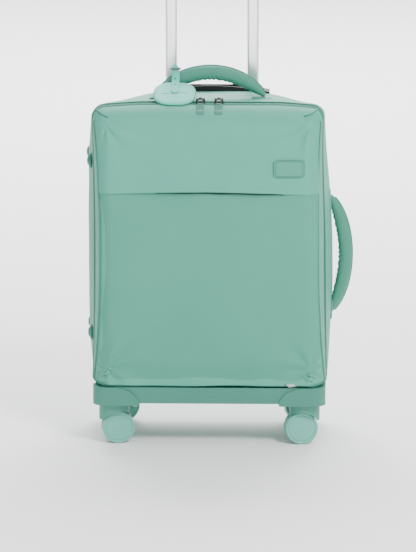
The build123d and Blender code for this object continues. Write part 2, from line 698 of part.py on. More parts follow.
# ---------------------------------------------------------------- padded handles, feet, tag
def padded_arch(span, rise):
    """A padded handle drawn over X with its ends on Z 0: a swept round that thins to both ends."""
    path = ThreePointArc((-span / 2, 0, 0), (0, 0, rise), (span / 2, 0, 0))
    quarter = HANDLE_END_RADIUS + (HANDLE_RADIUS - HANDLE_END_RADIUS) * 0.72
    radii = (HANDLE_END_RADIUS, quarter, HANDLE_RADIUS, quarter, HANDLE_END_RADIUS)
    sections = []
    for step, radius in enumerate(radii):
        share = step / 4
        sections.append(Plane(origin=path @ share, z_dir=path % share, x_dir=(0, 1, 0)) * Circle(radius))
    return sweep(sections, path=path, multisection=True)


def end_slope(span, rise):
    """Angle at which a padded handle leaves its anchors."""
    return 2 * math.atan(2 * rise / span)


def end_lift(span, rise):
    """Height of a padded handle's end centres over the fabric, so that it sits just clear of its patches."""
    return ANCHOR_THICKNESS + HANDLE_END_RADIUS * math.cos(end_slope(span, rise)) + FACE_GAP


def top_handle():
    """The carry handle on the top, its ends just above the fabric."""
    lift = SHELL_TOP + end_lift(TOP_HANDLE_SPAN, TOP_HANDLE_RISE)
    return Pos(0, TOP_HANDLE_Y, lift) * padded_arch(TOP_HANDLE_SPAN, TOP_HANDLE_RISE)


def side_handle():
    """The carry handle on the right side, standing upright."""
    lift = HALF_WIDTH + end_lift(SIDE_HANDLE_SPAN, SIDE_HANDLE_RISE)
    arch = padded_arch(SIDE_HANDLE_SPAN, SIDE_HANDLE_RISE)
    return Pos(lift, SIDE_HANDLE_Y, SIDE_HANDLE_Z) * Rot(0, 90, 0) * arch


def anchors(span, rise):
    """The webbing patch under each end of a handle, with an upstand past the end. Z 0 is the fabric."""
    patches = []
    near = span / 2 + HANDLE_END_RADIUS * math.sin(end_slope(span, rise)) + FACE_GAP
    start = span / 2 - 8
    for end in (-1, 1):
        low, high = sorted((end * start, end * (start + ANCHOR_LENGTH)))
        patch = block(low, high, -ANCHOR_WIDTH / 2, ANCHOR_WIDTH / 2, 0, ANCHOR_THICKNESS)
        low, high = sorted((end * near, end * (near + 3)))
        patches.append(patch + block(low, high, -6, 6, ANCHOR_THICKNESS, end_lift(span, rise)))
    return Compound(children=patches)


def top_handle_anchors():
    return Pos(0, TOP_HANDLE_Y, SHELL_TOP) * anchors(TOP_HANDLE_SPAN, TOP_HANDLE_RISE)


def side_handle_anchors():
    place = Pos(HALF_WIDTH, SIDE_HANDLE_Y, SIDE_HANDLE_Z) * Rot(0, 90, 0)
    return place * anchors(SIDE_HANDLE_SPAN, SIDE_HANDLE_RISE)


def side_feet():
    """Four domed studs with flat tips on the left side, for setting the case down on it."""
    feet = []
    ball = (FOOT_RADIUS**2 + FOOT_HEIGHT**2) / (2 * FOOT_HEIGHT)
    for z in FOOT_HEIGHTS:
        for y in FOOT_DEPTHS:
            dome = Pos(-HALF_WIDTH + ball - FOOT_HEIGHT, y, z) * Sphere(ball)
            tip = -HALF_WIDTH - FOOT_HEIGHT + FOOT_FLAT
            feet.append(dome & block(tip, -HALF_WIDTH, y - 30, y + 30, z - 30, z + 30))
    return Compound(children=feet)


def tag_pivot():
    """The handle's own centre where the strap goes round it."""
    lift = SHELL_TOP + end_lift(TOP_HANDLE_SPAN, TOP_HANDLE_RISE)
    radius = (TOP_HANDLE_SPAN**2 / 4 + TOP_HANDLE_RISE**2) / (2 * TOP_HANDLE_RISE)
    return TOP_HANDLE_Y, lift + TOP_HANDLE_RISE - radius + math.sqrt(radius**2 - TAG_X**2)


def lid_height(y):
    """Height of the lid's top surface at a depth, on the flat or down its rounding."""
    start = LID_FRONT + LID_TOP_ROUND
    reach = max(start - y, 0)
    return SHELL_TOP - LID_TOP_ROUND + math.sqrt(LID_TOP_ROUND**2 - reach**2)


def tag_point(along, up):
    """A point of the tag's own plane: along its length from the tip, and up from its underside."""
    slope = math.radians(TAG_SLOPE)
    tip_y = TOP_HANDLE_Y - TAG_REACH
    tip_z = lid_height(tip_y) + FACE_GAP
    y = tip_y + along * math.cos(slope) - up * math.sin(slope)
    return y, tip_z + along * math.sin(slope) + up * math.cos(slope)


def tag_card():
    """The oval card holder."""
    card = extrude(Ellipse(TAG_WIDTH / 2, TAG_LENGTH / 2), TAG_THICKNESS)
    card = fillet(card.edges(), 1.0)
    y, z = tag_point(TAG_LENGTH / 2, 0)
    return Pos(TAG_X, y, z) * Rot(TAG_SLOPE, 0, 0) * card


def tag_strap():
    """The strap: sewn to the card, round the handle, with its free end standing past the buckle."""
    half = STRAP_THICKNESS / 2
    pivot_y, pivot_z = tag_pivot()
    start = tag_point(TAG_LENGTH * 0.42, TAG_THICKNESS + half)
    edge = tag_point(TAG_LENGTH + 1, TAG_THICKNESS + half)
    loop = STRAP_LOOP_RADIUS + half
    buckle = (pivot_y - loop * math.sin(math.radians(20)), pivot_z + loop * math.cos(math.radians(20)))
    tip = (buckle[0] + 1.5, buckle[1] + STRAP_TIP)
    ring = Pos(pivot_y, pivot_z) * (Circle(loop + half) - Circle(loop - half))
    band_line = trace(Polyline(start, edge, buckle, tip), STRAP_THICKNESS)
    shape = ring + (band_line - Pos(pivot_y, pivot_z) * Circle(loop))
    return along_x(shape, TAG_X - STRAP_WIDTH / 2, TAG_X + STRAP_WIDTH / 2)


def tag_buckle():
    """The small keeper where the free end leaves the loop."""
    half = STRAP_THICKNESS / 2
    pivot_y, pivot_z = tag_pivot()
    loop = STRAP_LOOP_RADIUS + half
    y = pivot_y - loop * math.sin(math.radians(20)) + 0.8
    z = pivot_z + loop * math.cos(math.radians(20)) + 5
    outer = Pos(TAG_X, y, z) * Box(STRAP_WIDTH + 5, STRAP_THICKNESS + 4, 2.4)
    return outer - Pos(TAG_X, y, z) * Box(STRAP_WIDTH + 0.6, STRAP_THICKNESS + 1.4, 4)


# ---------------------------------------------------------------- the whole case
def build():
    """Every node of the case, by name."""
    nodes = {
        "body_shell": body_shell(),
        "lid_shell": lid_shell(),
        "front_pocket": front_pocket(),
        "badge_plate": badge(),
        "body_wire_frame": wire_hoop(BODY_RIM + WIRE_RADIUS + FACE_GAP),
        "lid_wire_frame": wire_hoop(LID_RIM - WIRE_RADIUS - FACE_GAP),
        "zip_tape_body": body_tape(),
        "zip_tape_lid": lid_tape(),
        "zip_coil_body": coil(SEAM_Y + ZIP_HALF_GAP, BODY_RIM),
        "zip_coil_lid": coil(LID_RIM, SEAM_Y - ZIP_HALF_GAP),
        "hinge_gusset": hinge_gusset(),
        "base_pan": base_pan(),
        "floor_board": floor_board(),
        "back_board": back_board(),
        "guard_screws": all_guard_screws(),
        "caster_kingpins": kingpins(),
        "swivel_washers": swivel_washers(),
        "sleeve_foot": sleeve_foot(),
        "handle_cup": handle_cup(),
        "middle_collars": collars(),
        "middle_guides": guides(MIDDLE_SIZE, SLEEVE_SIZE, MIDDLE_FOOT),
        "upper_guides": guides(UPPER_SIZE, MIDDLE_SIZE, UPPER_FOOT),
        "grip_lower": grip_lower(),
        "grip_upper": grip_upper(),
        "release_button": release_button(),
        "release_rods": release_rods(),
        "top_handle": top_handle(),
        "side_handle": side_handle(),
        "top_handle_anchors": top_handle_anchors(),
        "side_handle_anchors": side_handle_anchors(),
        "side_feet": side_feet(),
        "tag_card": tag_card(),
        "tag_strap": tag_strap(),
        "tag_buckle": tag_buckle(),
    }
    for name, x in (("left", -SLIDER_OFFSET), ("right", SLIDER_OFFSET)):
        nodes[f"zip_slider_{name}"] = slider(x)
        nodes[f"zip_pull_{name}"] = pull_tab(x)
    tube_sets = (
        ("sleeve", SLEEVE_SIZE, SLEEVE_BOTTOM, CUP_BOTTOM),
        ("middle_tube", MIDDLE_SIZE, MIDDLE_FOOT, MIDDLE_HEAD),
        ("upper_tube", UPPER_SIZE, UPPER_FOOT, UPPER_HEAD),
    )
    for name, size, z0, z1 in tube_sets:
        for side, tube in zip(("left", "right"), pair_of_tubes(size, z0, z1)):
            nodes[f"{name}_{side}"] = tube
    for name, side, end, angle in CASTERS:
        place = caster_frame(side, end, angle)
        nodes[f"corner_guard_{name}"] = corner_guard(side, end)
        nodes[f"fork_{name}"] = place * fork()
        nodes[f"axle_{name}"] = place * axle()
        nodes[f"wheels_{name}"] = place * twin_wheels()
    return nodes


def main():
    os.makedirs("parts", exist_ok=True)
    for name, shape in build().items():
        export_step(shape, f"parts/{name}.step")


main()
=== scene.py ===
# %% [markdown]
# # A softside upright suitcase
# The hard parts of this case, such as its wheels, tubes and guards, come ready made from a CAD
# model. This lesson loads them and sews the soft case around them. Every soft piece is a surface
# worked out with numpy, and every finish is a small network of shader nodes.

# %% Load the frame
import json
import math
from functools import partial

import bmesh
import bpy
import numpy as np
from mathutils import Matrix, Vector
from mathutils.bvhtree import BVHTree


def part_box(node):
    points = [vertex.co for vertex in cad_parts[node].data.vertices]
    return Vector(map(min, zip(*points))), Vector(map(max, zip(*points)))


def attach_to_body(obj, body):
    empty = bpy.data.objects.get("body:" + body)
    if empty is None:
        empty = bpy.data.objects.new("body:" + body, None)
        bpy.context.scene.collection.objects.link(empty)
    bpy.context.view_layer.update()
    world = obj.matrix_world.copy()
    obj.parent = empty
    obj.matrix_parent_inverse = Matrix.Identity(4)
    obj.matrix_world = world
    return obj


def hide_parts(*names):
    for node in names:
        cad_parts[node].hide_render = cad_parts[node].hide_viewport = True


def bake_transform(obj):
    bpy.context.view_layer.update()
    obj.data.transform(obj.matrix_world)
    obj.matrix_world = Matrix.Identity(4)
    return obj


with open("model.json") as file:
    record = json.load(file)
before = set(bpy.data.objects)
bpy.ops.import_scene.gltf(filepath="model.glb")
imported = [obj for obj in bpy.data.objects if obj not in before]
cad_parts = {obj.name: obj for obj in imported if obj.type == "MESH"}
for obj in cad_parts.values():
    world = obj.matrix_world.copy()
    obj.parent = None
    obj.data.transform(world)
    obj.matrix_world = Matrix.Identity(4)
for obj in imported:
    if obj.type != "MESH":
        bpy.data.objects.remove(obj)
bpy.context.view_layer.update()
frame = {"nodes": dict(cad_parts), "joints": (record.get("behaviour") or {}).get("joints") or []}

# %% [markdown]
# ## Camera
# A catalogue picture of a case is taken from far away with a long lens, so that its upright edges
# stay parallel. Seven metres away, eleven degrees above level and a degree and a half to the right
# of the middle gives that look.

# %% Camera
CAMERA_DISTANCE = 7.0
CAMERA_TARGET = Vector((-0.0040, 0.0, 0.2365))
CAMERA_LENS = 406.56
height, turn = math.radians(11.0), math.radians(1.5)
away = Vector((math.sin(turn) * math.cos(height), -math.cos(turn) * math.cos(height), math.sin(height)))
camera_data = bpy.data.cameras.new("camera")
camera_data.sensor_width = 36.0
camera_data.sensor_fit = "HORIZONTAL"
camera_data.lens = CAMERA_LENS
camera = bpy.data.objects.new("camera", camera_data)
camera.location = CAMERA_TARGET + away * CAMERA_DISTANCE
camera.rotation_euler = (-away).to_track_quat("-Z", "Y").to_euler()
bpy.context.collection.objects.link(camera)
bpy.context.scene.camera = camera

# %% [markdown]
# ## Measures
# The soft pieces take their places from the CAD nodes that they stand for. Lengths are in
# millimetres in this lesson and become metres when a mesh is made.

# %% Measures
MM = 0.001


def node_box(node):
    """A CAD node's lowest and highest corners, in millimetres."""
    low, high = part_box(node)
    return np.array(low) * 1000, np.array(high) * 1000


body_low, body_high = node_box("body_shell")
lid_low, lid_high = node_box("lid_shell")
HALF = body_high[0]
FOOT = body_low[2]
TOP = body_high[2]
BACK = body_high[1]
LID_FRONT = lid_low[1]
SEAM_Y = (body_low[1] + lid_high[1]) / 2
measures = (HALF, FOOT, TOP, SEAM_Y)
print("case half width, foot, top and seam:", *(round(float(value), 1) for value in measures))

# %% [markdown]
# Each piece that is made here, except the foot gusset and the floor, is attached to one rigid body, so
# that it moves as the joints do, and a piece that stands for a plain CAD node hides that node.


# %% Attaching pieces
def attach(pieces, body, node=None):
    """Lets pieces ride on a body. With node, the first piece replaces that CAD node."""
    for piece in pieces:
        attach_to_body(piece, body)
    if node:
        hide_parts(node)


# %% [markdown]
# ## Mesh helpers
# A surface is a grid of points with a row and a column number. Closing seams and poles by merging
# points at the same place keeps the texture coordinates, which belong to face corners. A profile
# carried along a path makes piping, straps and tapes, and one small shape repeated along a path
# makes zip teeth and stitches.


# %% Mesh helpers
def finish_mesh(name, vertices, faces, uv, materials, smooth=True, closed=False):
    """Makes an object from arrays, merges points at the same place, and links it."""
    mesh = bpy.data.meshes.new(name)
    mesh.from_pydata((np.asarray(vertices) * MM).tolist(), [], np.asarray(faces).tolist())
    if uv is not None:
        layer = mesh.uv_layers.new(name="UVMap")
        index = np.empty(len(mesh.loops), dtype=np.int64)
        mesh.loops.foreach_get("vertex_index", index)
        layer.data.foreach_set("uv", (np.asarray(uv)[index] * MM).astype(np.float32).ravel())
    work = bmesh.new()
    work.from_mesh(mesh)
    bmesh.ops.remove_doubles(work, verts=work.verts, dist=1e-6)
    if closed:
        bmesh.ops.recalc_face_normals(work, faces=work.faces)
    work.to_mesh(mesh)
    work.free()
    mesh.polygons.foreach_set("use_smooth", np.full(len(mesh.polygons), smooth))
    piece = bpy.data.objects.new(name, mesh)
    bpy.context.collection.objects.link(piece)
    for material in materials:
        mesh.materials.append(material)
    return piece


def grid_faces(rows, columns, wrap=False):
    """Quads between neighbouring grid points, as index rows. wrap joins the last column to the first."""
    r = np.arange(rows - 1)[:, None]
    c = np.arange(columns if wrap else columns - 1)[None, :]
    right = (c + 1) % columns
    corners = (r * columns + c, r * columns + right, (r + 1) * columns + right, (r + 1) * columns + c)
    return np.stack([np.broadcast_to(k, (rows - 1, c.shape[1])) for k in corners], axis=-1).reshape(-1, 4)


def grid_lengths(points):
    """Texture coordinates in millimetres: distance along the rows and along the columns of a grid."""
    along = np.linalg.norm(np.diff(points, axis=1), axis=2)
    down = np.linalg.norm(np.diff(points, axis=0), axis=2)
    u = np.concatenate([np.zeros((points.shape[0], 1)), np.cumsum(along, axis=1)], axis=1)
    v = np.concatenate([np.zeros((1, points.shape[1])), np.cumsum(down, axis=0)], axis=0)
    u = u - u[:, points.shape[1] // 2][:, None]
    return np.stack([u, v], axis=-1).reshape(-1, 2)


def surface(name, points, materials, outside=None, closed=False):
    """A grid of points made a mesh, its faces turned away from the point called outside."""
    faces = grid_faces(points.shape[0], points.shape[1])
    flat = points.reshape(-1, 3)
    if outside is not None:
        a, b, d = (flat[faces[:, k]] for k in (0, 1, 3))
        normals = np.cross(b - a, d - a)
        if np.sum(normals * (a - np.asarray(outside))) < 0:
            faces = faces[:, ::-1]
    return finish_mesh(name, flat, faces, grid_lengths(points), materials, closed=closed)


def unit(vectors):
    """Vectors scaled to length one."""
    return vectors / np.maximum(np.linalg.norm(vectors, axis=-1, keepdims=True), 1e-9)


def path_frames(path, normals, closed=False):
    """Direction, outward normal and sideways vector at each point of a path."""
    if closed:
        forward = unit(np.roll(path, -1, axis=0) - np.roll(path, 1, axis=0))
    else:
        forward = unit(np.gradient(path, axis=0))
    side = unit(np.cross(forward, normals))
    return forward, np.cross(side, forward), side


def rail(name, path, normals, profile, materials, closed=False):
    """A closed profile carried along a path: point + normal * height + sideways * offset. Ends are capped."""
    path = np.asarray(path, dtype=float)
    profile = np.asarray(profile, dtype=float)
    if profile.ndim == 2:
        profile = np.broadcast_to(profile, (len(path),) + profile.shape)
    _, up, side = path_frames(path, normals, closed)
    ring = path[:, None] + side[:, None] * profile[..., :1] + up[:, None] * profile[..., 1:]
    ring = np.concatenate([ring, ring[:, :1]], axis=1)
    if closed:
        ring = np.concatenate([ring, ring[:1]], axis=0)
    else:
        first, last = ring[:1].mean(axis=1, keepdims=True), ring[-1:].mean(axis=1, keepdims=True)
        count = ring.shape[1]
        ring = np.concatenate([np.repeat(first, count, 1), ring, np.repeat(last, count, 1)], axis=0)
    return surface(name, ring, materials, closed=True)


def circle_profile(radius, count=10):
    """A round profile."""
    angle = np.linspace(0, 2 * np.pi, count, endpoint=False)
    return np.stack([np.cos(angle), np.sin(angle)], axis=1) * radius


def flat_profile(half_width, half_height, count=20, power=4.0):
    """A flat profile with rounded edges: a superellipse."""
    angle = np.linspace(0, 2 * np.pi, count, endpoint=False)
    c, s = np.cos(angle), np.sin(angle)
    x = np.sign(c) * np.abs(c) ** (2 / power) * half_width
    return np.stack([x, np.sign(s) * np.abs(s) ** (2 / power) * half_height], axis=1)


def evenly(path, normals, pitch, inset=0.0):
    """Points and normals spaced evenly along a path by its length."""
    steps = np.linalg.norm(np.diff(path, axis=0), axis=1)
    length = np.concatenate([[0], np.cumsum(steps)])
    where = np.linspace(inset, length[-1] - inset, max(2, int(round((length[-1] - 2 * inset) / pitch)) + 1))
    points = np.stack([np.interp(where, length, path[:, k]) for k in range(3)], axis=1)
    turned = np.stack([np.interp(where, length, normals[:, k]) for k in range(3)], axis=1)
    return points, unit(turned)


def repeat(name, shape, faces, points, forward, up, materials):
    """One small shape placed at many points: x runs forward, y sideways and z up there."""
    side = np.cross(up, forward)
    turn_to = np.stack([forward, side, up], axis=1)
    placed = points[:, None] + np.einsum("vk,mkc->mvc", shape, turn_to)
    shift = np.arange(len(points))[:, None, None] * len(shape)
    corners = (faces[None] + shift).reshape(-1, faces.shape[1])
    return finish_mesh(name, placed.reshape(-1, 3), corners, None, materials)


def bead(length, radius, rings=4, sides=6):
    """A small closed bead along x: its radius is that of an ellipse at each ring. Its ends come to points."""
    along = np.linspace(-1, 1, rings + 2)
    swell = np.sqrt(np.maximum(1 - along**4, 0)) * radius
    angle = np.linspace(0, 2 * np.pi, sides, endpoint=False)
    x = np.repeat(along * length / 2, sides)
    y = (swell[:, None] * np.cos(angle)).ravel()
    z = (swell[:, None] * np.sin(angle)).ravel()
    return np.stack([x, y, z], axis=1), grid_faces(rings + 2, sides, wrap=True)


def stitches(name, path, normals, material, pitch=3.6, length=2.5, radius=0.42, inset=1.0):
    """A row of thread stitches, half sunk in the surface that the path lies on."""
    points, up = evenly(path, normals, pitch, inset)
    forward, up, _ = path_frames(points, up)
    shape, faces = bead(length, radius)
    return repeat(name, shape, faces, points, forward, up, [material])


def bump_noise(x, z, scale, seed):
    """Smooth seeded noise from sums of sines with fixed random directions and phases, about -1 to 1."""
    dice = np.random.RandomState(seed)
    total = np.zeros_like(x)
    for turn_by, phase, rate in zip(dice.rand(7) * 6.283, dice.rand(7) * 6.283, 0.6 + dice.rand(7)):
        total = total + np.sin((x * np.cos(turn_by) + z * np.sin(turn_by)) * rate / scale + phase)
    return total / 3.5


def step(value, low, high):
    """Smooth change from 0 at low to 1 at high."""
    t = np.clip((value - low) / (high - low), 0, 1)
    return t * t * (3 - 2 * t)


# %% [markdown]
# ## Finishes
# A finish is a Principled shader and a few pattern nodes. Writing `pattern * 0.2 + 0.4` is easier
# to read than a drawing of boxes and wires, so a small class wraps a socket and turns each
# operation into a Math node. What is the same all over stays a plain number on the shader.


# %% Shader helper
class Value:
    """A node's output socket that sums, differences, products and powers can be written with."""

    def __init__(self, tree, socket):
        self.tree, self.socket = tree, socket

    def math(self, operation, first, second):
        sheet = Finish.of(self.tree)
        return sheet.node("ShaderNodeMath", {"operation": operation}, {0: first, 1: second})

    def __add__(self, other):
        return self.math("ADD", self, other)

    __radd__ = __add__

    def __sub__(self, other):
        return self.math("SUBTRACT", self, other)

    def __rsub__(self, other):
        return self.math("SUBTRACT", other, self)

    def __mul__(self, other):
        return self.math("MULTIPLY", self, other)

    __rmul__ = __mul__

    def __pow__(self, other):
        return self.math("POWER", self, other)


class Finish:
    """A material whose nodes are added by one method."""

    sheets = {}

    def __init__(self, name, **constants):
        self.material = bpy.data.materials.new(name)
        self.material.use_nodes = True
        self.tree = self.material.node_tree
        self.shader = self.tree.nodes["Principled BSDF"]
        Finish.sheets[self.tree.as_pointer()] = self
        for socket, value in constants.items():
            self.shader.inputs[socket.replace("_", " ")].default_value = value

    @classmethod
    def of(cls, tree):
        return cls.sheets[tree.as_pointer()]

    def plug(self, socket, value):
        if isinstance(value, Value):
            self.tree.links.new(value.socket, socket)
        else:
            socket.default_value = value

    def node(self, kind, settings=None, inputs=None, out=0):
        made = self.tree.nodes.new(kind)
        for name, value in (settings or {}).items():
            if name == "stops":
                ramp = made.color_ramp
                for k, (place, colour) in enumerate(value):
                    stop = ramp.elements[k] if k < 2 else ramp.elements.new(place)
                    stop.position, stop.color = place, (*colour, 1)
            else:
                setattr(made, name, value)
        for name, value in (inputs or {}).items():
            self.plug(made.inputs[name], value)
        return Value(self.tree, made.outputs[out])

    def place(self, kind="Object", stretch=(1, 1, 1)):
        at = self.node("ShaderNodeTexCoord", out=kind)
        return self.node("ShaderNodeMapping", None, {"Vector": at, "Scale": stretch})

    def noise(self, at, scale, detail=3.0, rough=0.55):
        inputs = {"Vector": at, "Scale": scale, "Detail": detail, "Roughness": rough}
        return self.node("ShaderNodeTexNoise", None, inputs)

    def wave(self, at, scale, direction):
        settings = {"wave_type": "BANDS", "bands_direction": direction, "wave_profile": "SIN"}
        return self.node("ShaderNodeTexWave", settings, {"Vector": at, "Scale": scale}, out="Fac")

    def blend(self, amount, first, second):
        settings = {"data_type": "RGBA", "blend_type": "MIX"}
        return self.node("ShaderNodeMix", settings, {0: amount, 6: (*first, 1), 7: (*second, 1)}, out=2)

    def bump(self, height, distance, strength=1.0):
        inputs = {"Height": height, "Distance": distance, "Strength": strength}
        return self.node("ShaderNodeBump", None, inputs)

    def set(self, **sockets):
        for socket, value in sockets.items():
            self.plug(self.shader.inputs[socket.replace("_", " ")], value)
        return self.material


# %% [markdown]
# ### Coated nylon
# The case is sewn from satin nylon: a fine plain weave under a thin coating, so it has a broad
# soft gloss. The weave is two crossed sine bands on the piece's own texture coordinates, half a
# millimetre apart. A slow noise shifts the colour slightly, as dyed cloth does, and a second
# noise gives the faint crumple of cloth pulled over a frame.


# %% Cloth finishes
def nylon(name, light, dark, thread=0.55, gloss=0.48, sheen=0.02):
    """Satin nylon in two nearby shades, with threads this many millimetres apart."""
    cloth = Finish(name, Sheen_Weight=sheen, Sheen_Roughness=0.35, Specular_IOR_Level=0.2)
    sewn = cloth.place("UV")
    solid = cloth.place("Object")
    pitch = math.pi * 2 / 20 / (thread * MM)
    warp = cloth.wave(sewn, pitch, "X")
    weft = cloth.wave(sewn, pitch, "Y")
    weave = warp * weft + (1 - warp) * (1 - weft)
    crumple = cloth.noise(solid, 34.0, 4.0, 0.5)
    drift = cloth.noise(solid, 7.0, 2.0)
    colour = cloth.blend(drift * 0.7 + weave * 0.12 + crumple * 0.18, dark, light)
    relief = weave * 0.04 + crumple * 0.96
    normal = cloth.bump(relief, 0.0016, 0.55)
    return cloth.set(Base_Color=colour, Roughness=crumple * 0.16 + gloss, Normal=normal)


MINT = (0.084, 0.352, 0.264)
MINT_DEEP = (0.066, 0.306, 0.227)
shell_cloth = nylon("shell_cloth", MINT, MINT_DEEP)
pocket_cloth = nylon("pocket_cloth", (0.067, 0.298, 0.216), (0.053, 0.258, 0.185))
TAPE, TAPE_DEEP = (0.045, 0.205, 0.142), (0.034, 0.165, 0.112)
tape_cloth = nylon("tape_cloth", TAPE, TAPE_DEEP, thread=0.8, gloss=0.6, sheen=0.1)
PIPING, PIPING_DEEP = (0.048, 0.222, 0.155), (0.037, 0.182, 0.125)
piping_cloth = nylon("piping_cloth", PIPING, PIPING_DEEP, thread=0.5, gloss=0.45)
handle_cloth = nylon("handle_cloth", (0.055, 0.242, 0.172), (0.043, 0.200, 0.140))
# These SHADE colours are painted shade, not a cloth of the case: dark strips in the pocket's opening, along
# the darts and creases, and under the pull tips for their contact shadow.
SHADE, SHADE_DEEP = (0.022, 0.060, 0.045), (0.015, 0.045, 0.034)
painted_shade_finish = nylon("painted_shade_finish", SHADE, SHADE_DEEP, thread=0.8, gloss=0.7, sheen=0.0)
LINING, LINING_DEEP = (0.55, 0.57, 0.56), (0.46, 0.48, 0.47)
lining_cloth = nylon("lining_cloth", LINING, LINING_DEEP, thread=0.7, gloss=0.6, sheen=0.1)

# %% [markdown]
# ### Moulded plastic, leather and thread
# Moulded parts have a fine spark-eroded grain that scatters the highlights. Coated leather has
# small pebbles, which a Voronoi pattern gives. Thread only needs a finer grain.


# %% Hard and small finishes
def moulded(name, light, dark, rough=0.38, grain=900.0, depth=0.0003, coat=0.0):
    """Coloured plastic with a fine grain and a little variation from flow in the mould."""
    plastic = Finish(name, Specular_IOR_Level=0.32, Coat_Weight=coat, Coat_Roughness=0.25)
    at = plastic.place("Object")
    fine = plastic.noise(at, grain, 2.0)
    flow = plastic.noise(at, 14.0, 2.0)
    colour = plastic.blend(flow, dark, light)
    roughness = fine * 0.14 + flow * 0.08 + rough
    return plastic.set(Base_Color=colour, Roughness=roughness, Normal=plastic.bump(fine, depth, 0.5))


def pebbled_leather(name, light, dark):
    """Coated leather: pebbles from cell distances, with dye gathered between them."""
    hide = Finish(name, Specular_IOR_Level=0.3)
    at = hide.place("Object")
    pebbles = {"Vector": at, "Scale": 700.0}
    cells = hide.node("ShaderNodeTexVoronoi", {"feature": "SMOOTH_F1"}, pebbles, out="Distance")
    cloud = hide.noise(at, 25.0, 3.0)
    colour = hide.blend(cloud * 0.8 + cells * 0.2, dark, light)
    return hide.set(Base_Color=colour, Roughness=cells * 0.2 + 0.36, Normal=hide.bump(1 - cells, 0.0004, 0.4))


def drawn_metal(name, light, dark, rough, stretch=(300, 300, 6), metal=1.0):
    """Metal with fine scratches along its drawing direction, from noise that is stretched that way."""
    tube = Finish(name, Metallic=metal)
    at = tube.place("Object", stretch)
    lines = tube.noise(at, 4.0, 4.0, 0.6)
    colour = tube.blend(lines, dark, light)
    return tube.set(Base_Color=colour, Roughness=lines * 0.16 + rough, Normal=tube.bump(lines, 0.00008, 0.4))


# The trim's mint is set darker than the cloth's to paint the shade on low parts that get little light: the
# base pan, the guards and the floor board seen at the corners. Pull tabs and studs share it.
trim_plastic = moulded("trim_plastic", (0.045, 0.205, 0.152), (0.038, 0.182, 0.134))
fork_plastic = moulded("fork_plastic", (0.062, 0.262, 0.195), (0.053, 0.235, 0.173))
wheel_plastic = moulded("wheel_plastic", (0.118, 0.415, 0.335), (0.100, 0.375, 0.300), rough=0.30, coat=0.15)
badge_plastic = moulded("badge_plastic", (0.062, 0.285, 0.212), (0.053, 0.255, 0.188), rough=0.42)
tag_leather = pebbled_leather("tag_leather", (0.074, 0.500, 0.400), (0.062, 0.445, 0.352))
tube_alloy = drawn_metal("tube_alloy", (0.92, 0.925, 0.93), (0.80, 0.805, 0.81), 0.26)
steel = drawn_metal("steel", (0.62, 0.62, 0.62), (0.45, 0.45, 0.45), 0.35, (60, 60, 60))
dark_metal = drawn_metal("dark_metal", (0.10, 0.13, 0.12), (0.05, 0.07, 0.065), 0.32, (80, 80, 80), 0.8)
dark_plastic = moulded("dark_plastic", (0.008, 0.008, 0.0095), (0.005, 0.005, 0.006), rough=0.5)
board_plastic = moulded("board_plastic", (0.60, 0.61, 0.60), (0.52, 0.53, 0.52), rough=0.55, grain=300.0)
coil_plastic = moulded("coil_plastic", (0.080, 0.330, 0.230), (0.060, 0.270, 0.185), rough=0.35)
thread = moulded("thread", (0.125, 0.455, 0.330), (0.095, 0.385, 0.270), rough=0.6, grain=2500.0)
# This dark finish is painted shade, for the inside of the tag's slit and of its strap holes.
opening_painted_shade = moulded("opening_painted_shade", (0.030, 0.105, 0.075), (0.020, 0.080, 0.055), rough=0.7, grain=2500.0)

# %% [markdown]
# Each CAD node that stays in view gets one of these finishes in its own material slots.

# %% Finishes for the CAD nodes
# The low trim parts take the darkened trim finish: painted shade.
CARRIED = (
    (trim_plastic, ("base_pan", "corner_guard", "floor_board", "badge_plate", "zip_pull")),
    (tube_alloy, ("middle_tube", "upper_tube", "sleeve_left", "sleeve_right")),
    (steel, ("axle", "guard_screws", "caster_kingpins", "swivel_washers", "release_rods")),
    (dark_metal, ("zip_slider", "tag_buckle")),
    (dark_plastic, ("handle_cup", "middle_collars", "middle_guides", "upper_guides")),
    (dark_plastic, ("grip_", "release_button", "sleeve_foot")),
    (board_plastic, ("back_board",)),
    (wheel_plastic, ("wheels",)),
    (fork_plastic, ("fork",)),
)
for finish, starts in CARRIED:
    for node, carried in frame["nodes"].items():
        if node.startswith(starts):
            carried.data.materials.clear()
            carried.data.materials.append(finish)
print("finishes:", len(bpy.data.materials))

# %% [markdown]
# ## How the cloth stands
# The CAD case is flat-sided, but cloth is not. Its sides belly out behind the seam and pinch in
# at it, and the top is level along the seam and falls towards the rear corners. One function moves
# any point that way, so that panels, tapes and piping all stay together.


# %% How the cloth stands
def soften(points):
    """Moves x out by waist(z) * push(y) near the sides, and z down towards the rear corners of the top."""
    x, y, z = points[..., 0], points[..., 1], points[..., 2]
    share = np.clip((z - FOOT) / (TOP - FOOT), 0, 1)
    waist = np.sin(np.pi * share) ** 0.7
    push = -5.5 + 10.0 * step(y, -62, 22) - 2.5 * step(y, 60, 102)
    body = step(y, -62, 0)
    left = 4.8 * np.sin(np.pi * share) ** 0.6 * body
    right = 3.4 * np.exp(-(((share - 0.34) / 0.24) ** 2)) * body - 6.2 * step(share, 0.48, 0.95)
    push = waist * push + np.where(x < 0, left, right)
    new_x = x + np.sign(x) * (np.abs(x) / HALF) ** 3 * push
    fall = step(y, -52, 64) * (1.5 + 15.5 * step(np.abs(x), 56, 166)) - 0.8 * (1 - step(y, -54, 0))
    ripple = 0.7 + np.sin(x / 44 + 0.6) * 0.8 + np.sin(x / 17) * 0.35
    foot_wave = ripple * (1 - share) ** 40 * (1 - step(y, -70, -50))
    return np.stack([new_x, y, z - fall * share**5 + foot_wave], axis=-1)


